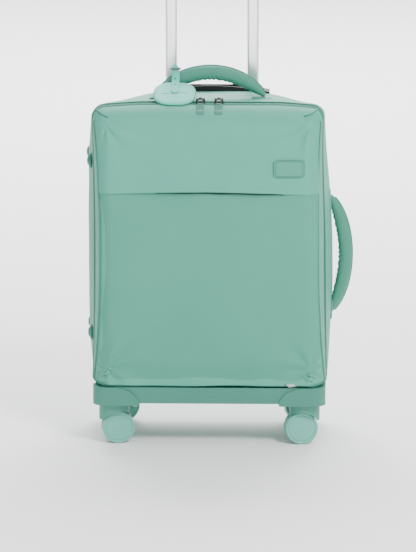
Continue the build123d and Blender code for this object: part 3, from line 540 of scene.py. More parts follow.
def arc(cx, cz, radius, start, end, count):
    """Points on an arc between two angles in degrees, without its last point."""
    angle = np.radians(np.linspace(start, end, count, endpoint=False))
    return np.stack([cx + radius * np.cos(angle), cz + radius * np.sin(angle)], axis=1)


def line(a, b, count):
    """Points on a straight run, without its last point."""
    t = np.linspace(0, 1, count, endpoint=False)[:, None]
    return np.asarray(a, dtype=float) * (1 - t) + np.asarray(b, dtype=float) * t


def case_loop(half, foot, top, low, high, edge=40, side=90, corner=18):
    """A rounded rectangle seen from the front, from the middle of its foot to the right and round. Every
    loop has its points in the same order, so that two loops can be blended point by point."""
    runs = (
        line((0, foot), (half - low, foot), edge),
        arc(half - low, foot + low, low, -90, 0, corner),
        line((half, foot + low), (half, top - high), side),
        arc(half - high, top - high, high, 0, 90, corner),
        line((half - high, top), (high - half, top), edge * 2),
        arc(high - half, top - high, high, 90, 180, corner),
        line((-half, top - high), (-half, foot + low), side),
        arc(low - half, foot + low, low, 180, 270, corner),
        line((low - half, foot), (0, foot), edge),
        np.array([[0, foot]], dtype=float),
    )
    loop = np.concatenate(runs)
    sag = 4.0 * step(np.abs(loop[:, 0]), 95, 172) * step(loop[:, 1], top - 60, top)
    return loop - np.stack([sag * 0, sag], axis=1)


BACK_ROUND = 26
SIDE_ROUND = 28
TOP_ROUND = 44
outer = case_loop(HALF, FOOT, TOP, 10, 20)
back_edge = case_loop(HALF - BACK_ROUND, FOOT + 5, TOP - BACK_ROUND, 8, 16)
front_edge = case_loop(HALF - SIDE_ROUND, FOOT + 3.5, TOP - TOP_ROUND, 8, 8)
turned = np.roll(outer[:-1], -1, axis=0) - np.roll(outer[:-1], 1, axis=0)
outward = unit(np.stack([turned[:, 1], -turned[:, 0]], axis=1))
outward = np.concatenate([outward, outward[:1]])
print("points round the case:", len(outer))


def hoop(y, inset=0.0):
    """The case outline at a depth, drawn in by inset, as points and outward normals."""
    flat = outer - outward * inset
    points = np.stack([flat[:, 0], np.broadcast_to(y, len(flat)), flat[:, 1]], axis=1)
    normals = np.stack([outward[:, 0], np.zeros(len(flat)), outward[:, 1]], axis=1)
    return soften(points), normals


# %% [markdown]
# ## The case body
# The body is one sewn shell: four sides and a back. Each row of its grid is the case outline at
# one depth. The first rows fold the raw edge in beside the zip, the straight rows run back, a
# quarter turn rounds into the back panel, and the last rows shrink to a line in its middle. Noise
# along the surface's own normals gives it the slackness of cloth.


# %% The case body
def grid_normals(points):
    """Normals of a grid from the cross product of its two directions."""
    return unit(np.cross(np.gradient(points, axis=1), np.gradient(points, axis=0)))


def crumple(points, outside_of, amount, scale, seed, fade):
    """Moves a grid's points along their normals by noise, with fade from 0 to 1 for each row."""
    normals = grid_normals(points)
    normals *= np.sign(np.sum(normals * (points - np.asarray(outside_of)), axis=-1, keepdims=True))
    x, y, z = points[..., 0], points[..., 1], points[..., 2]
    wave = bump_noise(x + y * 0.8, z - y * 0.4, scale, seed)
    wave = wave + 0.5 * bump_noise(x - y, z + y, scale * 0.4, seed + 5)
    return points + normals * (wave * amount * np.asarray(fade)[:, None])[..., None]


def ruled(first, second, shares, depths):
    """Rows of a grid that blend one loop into another, each at its own depth."""
    shares = np.asarray(shares)[:, None, None]
    flat = first[None] * (1 - shares) + second[None] * shares
    depth = np.broadcast_to(np.asarray(depths)[:, None], flat.shape[:2])
    return np.stack([flat[..., 0], depth, flat[..., 1]], axis=-1)


def middle_line(loop):
    """A loop squeezed onto a short upright line in its middle, where a panel's rows end."""
    centre = loop[:, 1].mean()
    return np.stack([loop[:, 0] * 0, centre + (loop[:, 1] - centre) * 0.4], axis=1)


BODY_EDGE = SEAM_Y + 11.0
quarter = np.linspace(0, np.pi / 2, 12)[1:]
WALL_ROWS = 22
straight = np.linspace(BODY_EDGE + 4, BACK - BACK_ROUND, WALL_ROWS)
fold_depths = BODY_EDGE + np.array([2.0, 0.2, 0.0, 1.4])
fold = ruled(outer, back_edge, (0.12, 0.07, 0.025, 0.0), fold_depths)
walls = ruled(outer, back_edge, np.zeros(WALL_ROWS), straight)
turn_in = ruled(outer, back_edge, 1 - np.cos(quarter), BACK - BACK_ROUND + BACK_ROUND * np.sin(quarter))
inward = np.linspace(0, 1, 30)[1:]
back_depths = BACK + 1.5 * np.sin(np.pi * np.minimum(inward, 0.5))
back_panel = ruled(back_edge, middle_line(back_edge), inward, back_depths)
skin = soften(np.concatenate([fold, walls, turn_in, back_panel]))
wall_fade = step(np.linspace(0, 1, WALL_ROWS), 0.02, 0.3)
fade = np.concatenate([np.zeros(4), wall_fade, np.ones(len(quarter)), 1 - step(inward, 0.5, 1.0)])
skin = crumple(skin, (0, 10, 290), 0.55, 26.0, 3, fade)
body_skin = surface("body_skin", skin, [shell_cloth, lining_cloth], outside=(0, 10, 290))


def thicken(piece, thickness):
    """Gives a shell its wall on the inside, with the lining's finish there."""
    wall = piece.modifiers.new("wall", "SOLIDIFY")
    wall.thickness = thickness * MM
    wall.offset = -1
    wall.material_offset = 1
    wall.material_offset_rim = 0


def cut_box(piece, low, high):
    """Cuts a box out of a piece with a Boolean, and keeps the result as its mesh."""
    bpy.ops.mesh.primitive_cube_add(size=1)
    cutter = bpy.context.object
    centre, size = (np.asarray(low) + high) / 2 * MM, (np.asarray(high) - low) * MM
    cutter.data.transform(Matrix.LocRotScale(Vector(centre), None, Vector(size)))
    cut = piece.modifiers.new("cut", "BOOLEAN")
    cut.object, cut.solver = cutter, "EXACT"
    bpy.context.view_layer.update()
    shaped = piece.evaluated_get(bpy.context.evaluated_depsgraph_get())
    mesh = bpy.data.meshes.new_from_object(shaped)
    piece.modifiers.clear()
    piece.data = mesh
    bpy.data.objects.remove(cutter)


thicken(body_skin, 3.0)
cup_low, cup_high = node_box("handle_cup")
cut_box(body_skin, cup_low - (0.3, 0.3, 1.0), cup_high + (0.3, 30, 30))
attach([body_skin], "case", "body_shell")
print("body skin:", len(body_skin.data.polygons), "faces")

# %% [markdown]
# ## The lid
# The lid is the same kind of shell, turned forward. Its top edge rolls over in a wide curve of 44
# mm and its sides in a tighter one of 28 mm, so its rounding is a blend between the outline and the
# front panel's own edge. A low crown keeps the panel from looking like board.

# %% The lid
LID_EDGE = SEAM_Y - 11.5
TURN_Y = LID_FRONT + TOP_ROUND
ROLL_ROWS = 34
PANEL_ROWS = 43


def crown(x, z):
    """How far the front panel stands out in its middle: a product of two parabolas."""
    return 3.0 * np.clip(1 - (x / 150) ** 2, 0, 1) * np.clip(1 - ((z - 285) / 180) ** 2, 0, 1)


def slack(x, z):
    """Slow waves of the front's cloth, and gathers that fan out from the four corners, in mm."""
    waves = bump_noise(x, z, 62.0, 31) * 2.6 + bump_noise(x + z * 0.5, z - x * 0.3, 24.0, 32) * 0.9
    for side, height in ((-1, 478), (1, 478), (-1, 118), (1, 118)):
        dx, dz = x - side * 152, z - height
        reach = np.exp(-(dx**2 + dz**2) / 48.0**2) * np.clip(np.hypot(dx, dz) / 12.0, 0, 1)
        waves = waves + 2.1 * reach * np.sin(np.arctan2(dz, dx) * 7 + side)
    return waves


first_turn = math.asin((TURN_Y - LID_EDGE) / TOP_ROUND)
roll = np.linspace(first_turn, np.pi / 2, ROLL_ROWS)
fold_shares = 1 - math.cos(first_turn) + np.array([0.10, 0.06, 0.015])
lid_fold = ruled(outer, front_edge, fold_shares, LID_EDGE - np.array([2.0, 0.2, 0.0]))
lid_roll = ruled(outer, front_edge, 1 - np.cos(roll), TURN_Y - TOP_ROUND * np.sin(roll))
inward = np.linspace(0, 1, PANEL_ROWS + 1)[1:]
lid_panel = ruled(front_edge, middle_line(front_edge), inward, np.full(PANEL_ROWS, LID_FRONT))
lid_panel[..., 1] -= crown(lid_panel[..., 0], lid_panel[..., 2]) * step(inward, 0, 0.25)[:, None]
skin = np.concatenate([lid_fold, lid_roll, lid_panel])
along_roll = np.linspace(0, 1, ROLL_ROWS)
loose = np.concatenate([np.zeros(3), step(along_roll, 0.25, 0.9), 1 - step(inward, 0.7, 1.0)])
skin[..., 1] -= slack(skin[..., 0], skin[..., 2]) * loose[:, None]
skin = soften(skin)
fade = np.concatenate([np.zeros(3), step(along_roll, 0.1, 0.6), 1 - step(inward, 0.6, 1.0)])
skin = crumple(skin, (0, 0, 290), 0.5, 24.0, 8, fade)
lid_skin = surface("lid_skin", skin, [shell_cloth, lining_cloth], outside=(0, 0, 290))
thicken(lid_skin, 2.6)
attach([lid_skin], "lid", "lid_shell")

# %% [markdown]
# ## The front pocket
# The lower panel is a flat pocket, open along its top edge, and the upper panel's hem overlaps
# that opening. Both are sheets that follow the lid's front and stand off it by a lift of their
# own, which falls to nothing where they are sewn down. The hem's last rows roll under.


# %% The front pocket
def on_front(x, z, lift):
    """A point on the lid's front at x and z, lifted off it. Past the flat panel it follows the rounding."""
    dx = np.maximum(np.abs(x) - (HALF - SIDE_ROUND), 0) / SIDE_ROUND
    dz = np.maximum(z - (TOP - TOP_ROUND), 0) / TOP_ROUND
    y = TURN_Y - TOP_ROUND * np.sqrt(np.clip(1 - dx**2 - dz**2, 0, 1))
    return soften(np.stack([x, y - crown(x, z) - slack(x, z) - lift, z], axis=-1))


def hem_height(x):
    """Height of the upper panel's hem: a little higher in its middle."""
    return 383.5 - 5.0 * (np.abs(x) / 166) ** 1.6


def hem_lift(x):
    """How far the hem stands out from the lid."""
    return 9.0 - 6.8 * np.clip(np.abs(x) / 168, 0, 1) ** 3


PANEL_TOP = 456
POCKET_FOOT = 95.5
across = np.linspace(-168, 168, 120)[None, :]
down = np.linspace(0, 1, 40)[:, None]
x = np.broadcast_to(across, (40, 120))
z = PANEL_TOP + (hem_height(across) - PANEL_TOP) * down
lift = -0.4 + (hem_lift(across) + 0.4) * step(down, 0.05, 1.0) ** 0.8
lift = lift + 0.45 * bump_noise(x, z, 21.0, 21) * step(down, 0.1, 0.5)
roll_under = ((0.35, -0.9), (1.4, -1.5), (2.6, -1.2), (3.4, 0.2), (3.6, 5.0))
rows = [on_front(x, z, lift)]
for back_by, drop in roll_under:
    rows.append(on_front(across, hem_height(across) + drop, lift[-1:] - back_by))
upper_panel = surface("upper_panel", np.concatenate(rows), [shell_cloth], outside=(0, 0, 380))
attach([upper_panel], "lid")

down = np.linspace(0, 1, 90)[:, None]
x = np.broadcast_to(np.linspace(-167, 167, 120)[None, :], (90, 120))
pocket_top = hem_height(x) + 4
z = pocket_top + (POCKET_FOOT - pocket_top) * down
side_fade = 1 - np.clip(np.abs(x) / 167, 0, 1) ** 7
foot_fade = step(z, 94, 128)
ripple = bump_noise(x, z, 30.0, 11) * 0.7 + bump_noise(x + z * 0.6, z, 13.0, 12) * 0.22
mouth = (1 - step(hem_height(x) - z, -6, 34)) * (1 - step(np.abs(x), 60, 140))
lift = -0.6 + side_fade * foot_fade * (5.0 + ripple) - 3.6 * mouth
pocket_panel = surface("pocket_panel", on_front(x, z, lift), [pocket_cloth], outside=(0, 0, 240))
attach([pocket_panel], "lid", "front_pocket")
print("pocket lift up to", round(float(lift.max()), 1), "mm")

# Under the hem lies a thin dark strip: painted shade in the pocket's opening, widest near its middle.
x = np.linspace(-78, 112, 120)
mouth_path = on_front(x, hem_height(x) - 3.0, 2.2 + 0 * x)
gape = 0.3 + (1.7 + 0.35 * np.sin(x / 9)) * np.clip(1 - ((x - 22) / 95) ** 2, 0, 1)
mouth_profile = flat_profile(1.0, 1.0)[None] * np.stack([gape, 1.4 + 0 * gape], axis=1)[:, None]
front_normal = np.tile((0.0, -1.0, 0.0), (len(x), 1))
mouth_shade = rail("pocket_gap_painted_shade", mouth_path, front_normal, mouth_profile, [painted_shade_finish])
attach([mouth_shade], "lid")

x = np.linspace(-160, 160, 200)
hem_line = on_front(x, hem_height(x) + 6.0, hem_lift(x) - 0.15)
front_normal = np.tile((0.0, -1.0, 0.0), (len(x), 1))
hem_stitches = stitches("hem_stitches", hem_line, front_normal, thread)
attach([hem_stitches], "lid")

# %% [markdown]
# ## Piping and panel seams
# A corded edge runs down both sides of the front panel, drawn in at the waist, and along its foot.
# Along the top the cloth turns over without a cord. It is a round profile carried along a path on
# the lid's rounding. Another goes round the back panel, and two finer cords hold the cloth down on
# each side of the zip.

# %% Piping
loop_z = outer[:, 1]
waist = np.sin(np.pi * np.clip((loop_z - FOOT) / (TOP - FOOT), 0, 1)) ** 0.7
seam_turn = np.radians(
    outward[:, 0] ** 2 * (24 + 25 * waist)
    + np.clip(outward[:, 1], 0, 1) ** 2 * 19
    + np.clip(-outward[:, 1], 0, 1) ** 2 * 62
)


def on_roll(turn_by, lift):
    """Points on the lid's rounding at an angle for each loop point, lifted off it along its normal."""
    share = (1 - np.cos(turn_by))[:, None]
    flat = outer * (1 - share) + front_edge * share
    side, up = outward[:, 0] * np.cos(turn_by), outward[:, 1] * np.cos(turn_by)
    normal = np.stack([side, -np.sin(turn_by), up], axis=1)
    points = np.stack([flat[:, 0], TURN_Y - TOP_ROUND * np.sin(turn_by), flat[:, 1]], axis=1)
    return soften(points + normal * lift), normal


top_run = np.flatnonzero(outward[:-1, 1] > 0.35)


def open_run(points):
    """A loop's points from the top left corner down, along the foot and up to the top right corner."""
    return np.concatenate([points[top_run[-1] + 1 : -1], points[: top_run[0]]])


path, normal = on_roll(seam_turn, 0.5)
panel_piping = rail("panel_piping", open_run(path), open_run(normal), circle_profile(1.5), [piping_cloth])
path, normal = on_roll(seam_turn + 0.085, 0.0)
panel_stitches = stitches("panel_stitches", open_run(path), open_run(normal), thread, pitch=4.2)
attach([panel_piping, panel_stitches], "lid")


def cord_round(name, path, normal, radius, body):
    """A cord sewn on all the way round the case, along a path whose last point is its first."""
    cord = rail(name, path[:-1], normal[:-1], circle_profile(radius), [piping_cloth], closed=True)
    attach([cord], body)


BACK_TURN = math.radians(52)
BACK_SIDE, BACK_FACE = 0.616, 0.788  # that angle's cosine and sine
share = 1 - math.cos(BACK_TURN)
flat = outer * (1 - share) + back_edge * share
full = np.ones(len(outer))
normal = unit(np.stack([outward[:, 0] * BACK_SIDE, full * BACK_FACE, outward[:, 1] * BACK_SIDE], axis=1))
path = np.stack([flat[:, 0], full * (BACK - BACK_ROUND + BACK_ROUND * BACK_FACE), flat[:, 1]], axis=1)
cord_round("back_piping", soften(path + normal * 0.4), normal, 1.5, "case")
cord_round("lid_zip_cord", *on_roll(full * first_turn, 0.1), 1.15, "lid")
cord_round("body_zip_cord", *hoop(BODY_EDGE + 0.4, 0.1), 1.15, "case")

# %% [markdown]
# ## Darts and creases
# At each top corner the front's cloth is folded over and sewn in a short dart, and at each bottom
# corner it is gathered. Each is a line drawn on the lid as seen from the front, dropped onto the
# skin by a ray, with a dark strip of painted shade along its fold and a soft welt above it.


# %% Darts and creases
def drop_on(piece, corners, count, lift, start_y=-200.0):
    """Points on a piece behind a polyline of (x, z) corners, by rays towards +Y, with the normals there."""
    tree = BVHTree.FromObject(piece, bpy.context.evaluated_depsgraph_get())
    corners = np.asarray(corners, dtype=float)
    run = np.concatenate([[0], np.cumsum(np.linalg.norm(np.diff(corners, axis=0), axis=1))])
    at = np.linspace(0, run[-1], count)
    points, normals = [], []
    for px, pz in zip(np.interp(at, run, corners[:, 0]), np.interp(at, run, corners[:, 1])):
        spot, facing, _, _ = tree.ray_cast(Vector((px, start_y, pz)) * MM, Vector((0, 1, 0)))
        if spot is not None:
            points.append(np.array(spot) / MM + np.array(facing) * lift)
            normals.append(np.array(facing))
    return np.array(points), np.array(normals)


def taper(count, half_width, half_height, low=0.25):
    """A flat profile that narrows to both ends, for a fold or a crease."""
    swell = low + (1 - low) * np.sin(np.linspace(0, np.pi, count)) ** 0.6
    return flat_profile(half_width, half_height)[None] * np.stack([swell, swell], axis=1)[:, None]


bpy.context.view_layer.update()
FOLDS = (
    ("dart_left", lid_skin, ((-167, 497), (-160, 494), (-148, 489))),
    ("dart_right", lid_skin, ((159, 499), (150, 495), (138, 491))),
    ("gather_left", pocket_panel, ((-160, 103), (-152, 106), (-146, 113), (-145, 121))),
    ("gather_right", pocket_panel, ((158, 101), (151, 107), (146, 106))),
    ("gather_right_low", pocket_panel, ((153, 98), (145, 101), (139, 106))),
)
for name, piece, corners in FOLDS:
    path, normal = drop_on(piece, corners, 30, 0.15)
    normal[:, 1] = np.minimum(normal[:, 1], -0.05)
    # The dark rail is painted shade along the fold; the welt above it is real relief in the shell cloth.
    fold = rail(name, path, unit(normal), taper(len(path), 1.2, 0.4), [painted_shade_finish])
    welt_path = path + np.array([0, 0, 1.5]) + unit(normal) * 0.2
    welt = rail(name + "_welt", welt_path, unit(normal), taper(len(path), 2.0, 1.15, 0.1), [shell_cloth])
    attach([fold, welt], "lid")

# %% [markdown]
# ## The zip
# Between the two cords lie the woven tapes, one to each half, and on them the coil's teeth. The
# coil runs over the top and down both sides, and stops above the foot, where the same tape goes on
# as a plain gusset. A tooth is one small bead, placed some 600 times on each side.


# %% The zip
ZIP_END = 160.0


def tape_half(name, near, far, body, node, coil_node):
    """One tape: a thin band round the case between two depths, with its teeth at the near edge."""
    depths = np.linspace(near, far, 5)
    insets = (1.6, 1.9, 2.1, 2.3, 2.4) if body == "lid" else (1.6, 1.6, 1.6, 1.7, 1.9)
    band = np.stack([hoop(depth, inset)[0] for depth, inset in zip(depths, insets)])
    tape = surface(name, band, [tape_cloth], outside=(0, SEAM_Y, 290))
    attach([tape], body, node)
    path, normal = hoop(near + (far - near) * 0.09, 0.9)
    zipped = path[:, 2] > ZIP_END
    points, up = evenly(path[zipped], normal[zipped], 1.65)
    forward = np.tile((0.0, 1.0, 0.0), (len(points), 1))
    shape, faces = bead(2.7, 0.8, rings=2, sides=6)
    teeth = repeat(name + "_teeth", shape, faces, points, forward, up, [coil_plastic])
    attach([teeth], body, coil_node)
    return len(points)


count = tape_half("tape_lid", SEAM_Y - 0.1, LID_EDGE - 1.0, "lid", "zip_tape_lid", "zip_coil_lid")
count = tape_half("tape_body", SEAM_Y + 0.1, BODY_EDGE + 2.5, "case", "zip_tape_body", "zip_coil_body")
print("teeth on each side:", count)

# %% [markdown]
# A spring wire runs round the inside of each rim and holds the cloth open. It follows the softened
# outline, 7 mm inside it.

# %% Rim wires
for node, rider in (("body_wire_frame", "case"), ("lid_wire_frame", "lid")):
    low, high = node_box(node)
    path, normal = hoop((low[1] + high[1]) / 2, 7.0)
    round_wire = circle_profile(1.75, 12)
    wire = rail("rim_wire_" + rider, path[:-1], normal[:-1], round_wire, [steel], closed=True)
    attach([wire], rider, node)

# %% [markdown]
# The cloth floor between the lid and the body bends when the lid opens. Here it is one flat strip
# of lining along the foot, from the seam to near the lid's front, in the hinge gusset's place.

# %% The foot gusset
across = np.linspace(-158, 158, 40)[None, :]
depth = np.linspace(SEAM_Y + 4, LID_FRONT + 12, 24)[:, None]
strip = np.stack(np.broadcast_arrays(across, depth, FOOT + 3.4 + 0.3 * np.sin(across / 21)), axis=-1)
foot_gusset = surface("foot_gusset", strip, [lining_cloth], outside=(0, -80, 0))
wall = foot_gusset.modifiers.new("wall", "SOLIDIFY")
wall.thickness = 0.8 * MM
gusset_start, gusset_end = (0, SEAM_Y * MM, FOOT * MM), (0, (LID_FRONT + 14) * MM, FOOT * MM)
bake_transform(foot_gusset)
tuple(gusset_start)
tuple(gusset_end)
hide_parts("hinge_gusset")

# %% [markdown]
# ## Padded handles
# Each handle is a foam core in a sewn sleeve: full in the middle and flat at its stitched ends. Its
# section is a superellipse that changes along an arch. The cloth on the inside of the bend is too
# long for it, so it gathers in small folds there, and a corded seam runs along the outside.


# %% Padded handles
def handle_shape(span, rise, lift, thick, wide):
    """An arch over x with height lift + rise * (1 - t^2), and its half thickness and half width along t."""
    t = np.linspace(-1, 1, 220)
    path = np.stack([t * span / 2, t * 0, lift + rise * (1 - np.abs(t) ** 2.05)], axis=1)
    full = (1 - np.abs(t) ** 4.5) ** 0.75
    return t, path, 1.7 + (thick - 1.7) * full, wide * (0.82 + 0.18 * full)


PAD_POWER = 2.3  # of the section's superellipse: 2 is an ellipse


def padded_handle(name, span, rise, lift, thick, wide, to_place):
    """Builds a handle with its corded seam and two rows of stitches. to_place takes points to their place."""
    t, path, half_thick, half_wide = handle_shape(span, rise, lift, thick, wide)
    up = np.tile((0.0, 0.0, 1.0), (len(t), 1))
    forward, up, side = path_frames(path, up)
    angle = np.linspace(0, 2 * np.pi, 48, endpoint=False)
    c, s = np.cos(angle), np.sin(angle)
    round_x = np.sign(c) * np.abs(c) ** (2 / PAD_POWER)
    round_z = np.sign(s) * np.abs(s) ** (2 / PAD_POWER)
    under = np.clip(-s, 0, 1) ** 1.5
    folds = np.sin(t * 62 + 1.3 * np.sin(t * 17)) * (1 - np.abs(t) ** 3)
    folds = folds * (0.7 + 0.3 * np.sin(t * 9 + 1))
    pinch = 1 - 0.15 * (folds[:, None] * 0.5 + 0.5) * under[None]
    soft = 1 + 0.02 * bump_noise(t[:, None] * 90, angle[None] * 14, 11.0, 4)
    outline = np.stack([half_wide[:, None] * round_x, half_thick[:, None] * round_z], axis=-1)
    profile = outline * (pinch * soft)[..., None]
    normal = to_place(path + up) - to_place(path)
    pad = rail(name, to_place(path), normal, profile, [handle_cloth])
    cord_path = to_place(path + up * (half_thick + 0.5)[:, None])
    sewn, stitched = slice(6, -6), slice(14, -14)
    cord = rail(name + "_cord", cord_path[sewn], normal[sewn], circle_profile(1.25), [piping_cloth])
    rows = []
    for edge, tag in ((-1, "_stitch_a"), (1, "_stitch_b")):
        seam = path + side * (edge * half_wide * 0.24)[:, None] + up * (half_thick * 0.985)[:, None]
        rows.append(stitches(name + tag, to_place(seam)[stitched], normal[stitched], thread, pitch=3.8))
    return pad, [cord, *rows]


top_low, top_high = node_box("top_handle")
TOP_HANDLE_Y = (top_low[1] + top_high[1]) / 2
side_low, side_high = node_box("side_handle")
SIDE_Y = (side_low[1] + side_high[1]) / 2
SIDE_Z = (side_low[2] + side_high[2]) / 2


def to_top(points):
    """From the drawing plane to the middle of the top."""
    return points + (0, TOP_HANDLE_Y, 0)


def to_side(points):
    """From the drawing plane to the right side: its length upright and its height outward."""
    return np.stack([points[..., 2], points[..., 1] + SIDE_Y, SIDE_Z - points[..., 0]], axis=-1)


top_pad, top_trim = padded_handle("top_handle_pad", 160, 33.5, TOP + 2.6, 10.9, 10.2, to_top)
side_pad, side_trim = padded_handle("side_handle_pad", 176, 22.0, HALF + 3.9, 10.4, 10.2, to_side)
for pad, trim, body in ((top_pad, top_trim, "top_handle"), (side_pad, side_trim, "side_handle")):
    attach([pad, *trim], body, body)  # each body is one CAD node of the same name
print("top handle peak", round(float(top_pad.dimensions.z), 4))

# %% [markdown]
# ## Slabs: patches, badge and tag
# A flat rounded piece is a polar grid: rings from its middle out over the edge and back under. The
# outline is a superellipse, between an oval and a rectangle. The ring list gives each ring's share
# of the radius and of the thickness.


# %% Slabs
TOP_RINGS = ((0, 1), (0.2, 1), (0.4, 1), (0.6, 1), (0.78, 1), (0.88, 1), (0.94, 0.98), (0.975, 0.88))
EDGE_RINGS = ((1, 0.55), (1, 0.4), (0.975, 0.1), (0.94, 0), (0.6, 0), (0, 0))


def oval(angle, a, b, power):
    """A superellipse's radius at an angle: (|cos / a|^p + |sin / b|^p)^(-1/p)."""
    c, s = np.abs(np.cos(angle)), np.abs(np.sin(angle))
    return ((c / a) ** power + (s / b) ** power) ** (-1 / power)


def slab(name, a, b, thickness, power, place, materials, dish=0.0):
    """A closed rounded slab with half sizes a and b. dish is how deep its middle lies below its rim."""
    share, level = np.array(TOP_RINGS + EDGE_RINGS).T
    angle = np.linspace(0, 2 * np.pi, 97)
    radius = oval(angle, a, b, power)
    u = share[:, None] * radius * np.cos(angle)
    v = share[:, None] * radius * np.sin(angle)
    w = np.broadcast_to(level[:, None] * thickness, u.shape) - dish * (share[:, None] ** 2)
    return surface(name, place(u, v, w), materials, closed=True)


def slab_rim(a, b, power, share, level, place, count=160):
    """A closed path round a slab at a share of its radius and at a height, with the slab's normal."""
    angle = np.linspace(0, 2 * np.pi, count)
    radius = oval(angle, a, b, power) * share
    u, v = radius * np.cos(angle), radius * np.sin(angle)
    flat = np.full(count, level)
    return place(u, v, flat), place(u, v, flat + 1) - place(u, v, flat)


badge_low, badge_high = node_box("badge_plate")
BADGE_X, BADGE_Z = (badge_low[0] + badge_high[0]) / 2, (badge_low[2] + badge_high[2]) / 2 - 3.0
BADGE_A, BADGE_B = (badge_high[0] - badge_low[0]) / 2, (badge_high[2] - badge_low[2]) / 2 - 1.6
BADGE_THICK = 1.5
BADGE_POWER = 7


def on_badge(u, v, w):
    """From the badge's plane to the upper panel, which it lies on."""
    x, z = BADGE_X + u, BADGE_Z + v
    share = step((PANEL_TOP - z) / (PANEL_TOP - hem_height(x)), 0.05, 1.0) ** 0.8
    under = on_front(x, z, -0.4 + (hem_lift(x) + 0.4) * share)
    return under - np.stack([w * 0, w + 0.55, w * 0], axis=-1)


badge = slab("badge_leather", BADGE_A, BADGE_B, BADGE_THICK, BADGE_POWER, on_badge, [badge_plastic])
badge_rims = []
for percent in (84, 97):
    path, normal = slab_rim(BADGE_A, BADGE_B, BADGE_POWER, percent / 100, BADGE_THICK, on_badge)
    path, normal = path[:-1], unit(normal)[:-1]
    bead_line = circle_profile(0.42, 8)
    badge_rims.append(rail(f"badge_rim_{percent}", path, normal, bead_line, [piping_cloth], closed=True))
attach([badge, *badge_rims], "lid", "badge_plate")


PATCH_A, PATCH_B, PATCH_POWER = 15, 12.5, 5


def sewn_patch(name, place, node=None):
    """A webbing patch under a handle's end, sewn down round its edge."""
    patch = slab(name, PATCH_A, PATCH_B, 1.7, PATCH_POWER, place, [shell_cloth])
    path, normal = slab_rim(PATCH_A, PATCH_B, PATCH_POWER, 0.82, 1.62, place)
    row = stitches(name + "_stitches", path, normal, thread, pitch=3.2, length=2.2)
    attach([patch, row], "case", node)


def top_place(u, v, w, along):
    """From a patch's plane to the top, along from the middle of the handle."""
    return soften(np.stack([along + u, TOP_HANDLE_Y + v, TOP + 0.4 + w], axis=-1))


def side_place(u, v, w, along):
    """From a patch's plane to the right side, along from the middle of the handle."""
    flat = soften(np.stack([np.full_like(u, HALF), SIDE_Y + v, SIDE_Z + along + u], axis=-1))
    return flat + np.stack([w - 0.2, w * 0, w * 0], axis=-1)


sewn_patch("top_patch_left", partial(top_place, along=-76), "top_handle_anchors")
sewn_patch("top_patch_right", partial(top_place, along=76))
sewn_patch("side_patch_low", partial(side_place, along=-84), "side_handle_anchors")
sewn_patch("side_patch_high", partial(side_place, along=84))

# %% [markdown]
# ## Zip pulls
# Each pull is a soft moulded tab with a thick lower end, on a wire ring through the slider's eye. A
# dark line under its tip stands for its contact shadow. The tab hangs down the lid's rounding, so it
# is drawn in the plane from the pull's pin to its tip.

# %% Zip pulls
for tag in ("left", "right"):
    low, high = node_box("zip_pull_" + tag)
    middle_x = (low[0] + high[0]) / 2
    top_point = np.array([middle_x, high[1] - 1.2, high[2] - 1.4])
    tip_point = np.array([middle_x, low[1] + 0.6, low[2] - 1.2])
    ahead = unit(tip_point - top_point)
    face = np.cross(np.array([1.0, 0, 0]), ahead)
    face = face * np.sign(face[2])
    reach = np.linalg.norm(tip_point - top_point)

    def on_pull(u, v, w, top_point=top_point, ahead=ahead, face=face):
        """From the tab's plane: u across, v down from the pin, w off its face."""
        return top_point + u[..., None] * np.array([1.0, 0, 0]) + v[..., None] * ahead + w[..., None] * face

    t = np.linspace(0.30, 1.0, 40)
    edge = np.sqrt(np.clip(1 - ((t - 0.65) / 0.351) ** 18, 0, 1))
    half_wide = (5.4 + 0.5 * step(t, 0.7, 0.85)) * np.maximum(edge, 0.1)
    half_thick = (1.0 + 0.9 * step(t, 0.74, 0.84)) * np.maximum(edge, 0.15)
    path = on_pull(t * 0, t * reach, t * 0 + 0.4)
    section = flat_profile(1.0, 1.0)[None] * np.stack([half_wide, half_thick], axis=1)[:, None]
    tab = rail("pull_tab_" + tag, path, np.tile(face, (40, 1)), section, [trim_plastic])
    angle = np.linspace(0, 2 * np.pi, 48)[:-1]
    across = 3.6 * np.sign(np.cos(angle)) * np.abs(np.cos(angle)) ** 0.6
    path = on_pull(across, reach * (0.20 + 0.21 * np.sin(angle)), angle * 0 + 1.0)
    facing, section = np.tile(face, (47, 1)), circle_profile(0.85, 10)
    ring = rail("pull_ring_" + tag, path, facing, section, [dark_metal], closed=True)
    # A dark rail under the tab's tip: painted contact shadow.
    path = on_pull(np.linspace(-4.8, 4.8, 12), np.full(12, reach), np.full(12, -0.6))
    shade = rail("pull_edge_" + tag, path, np.tile(face, (12, 1)), circle_profile(0.7, 8), [painted_shade_finish])
    attach([tab], "pull_" + tag, "zip_pull_" + tag)
    attach([ring, shade], "pull_" + tag)

# %% [markdown]
# ## Side feet
# The left side has four moulded studs, so that the case can be set down on it. Each is a low dome
# on a wider flange, and stands on the bellied cloth.


# %% Side feet
def lathe(name, radii, heights, place, materials, count=64):
    """A profile of radii and heights turned round an axis: (r cos a, r sin a, h)."""
    angle = np.linspace(0, 2 * np.pi, count + 1)
    radii, heights = np.asarray(radii, dtype=float)[:, None], np.asarray(heights, dtype=float)[:, None]
    u, v = radii * np.cos(angle), radii * np.sin(angle)
    return surface(name, place(u, v, np.broadcast_to(heights, u.shape)), materials, closed=True)


STUD_R = (0, 3.6, 5.6, 7.0, 8.0, 10.0, 11.0, 11.2, 11.2, 0)
STUD_H = (6.0, 6.0, 5.4, 4.3, 3.0, 2.7, 2.0, 1.0, -1.2, -1.2)


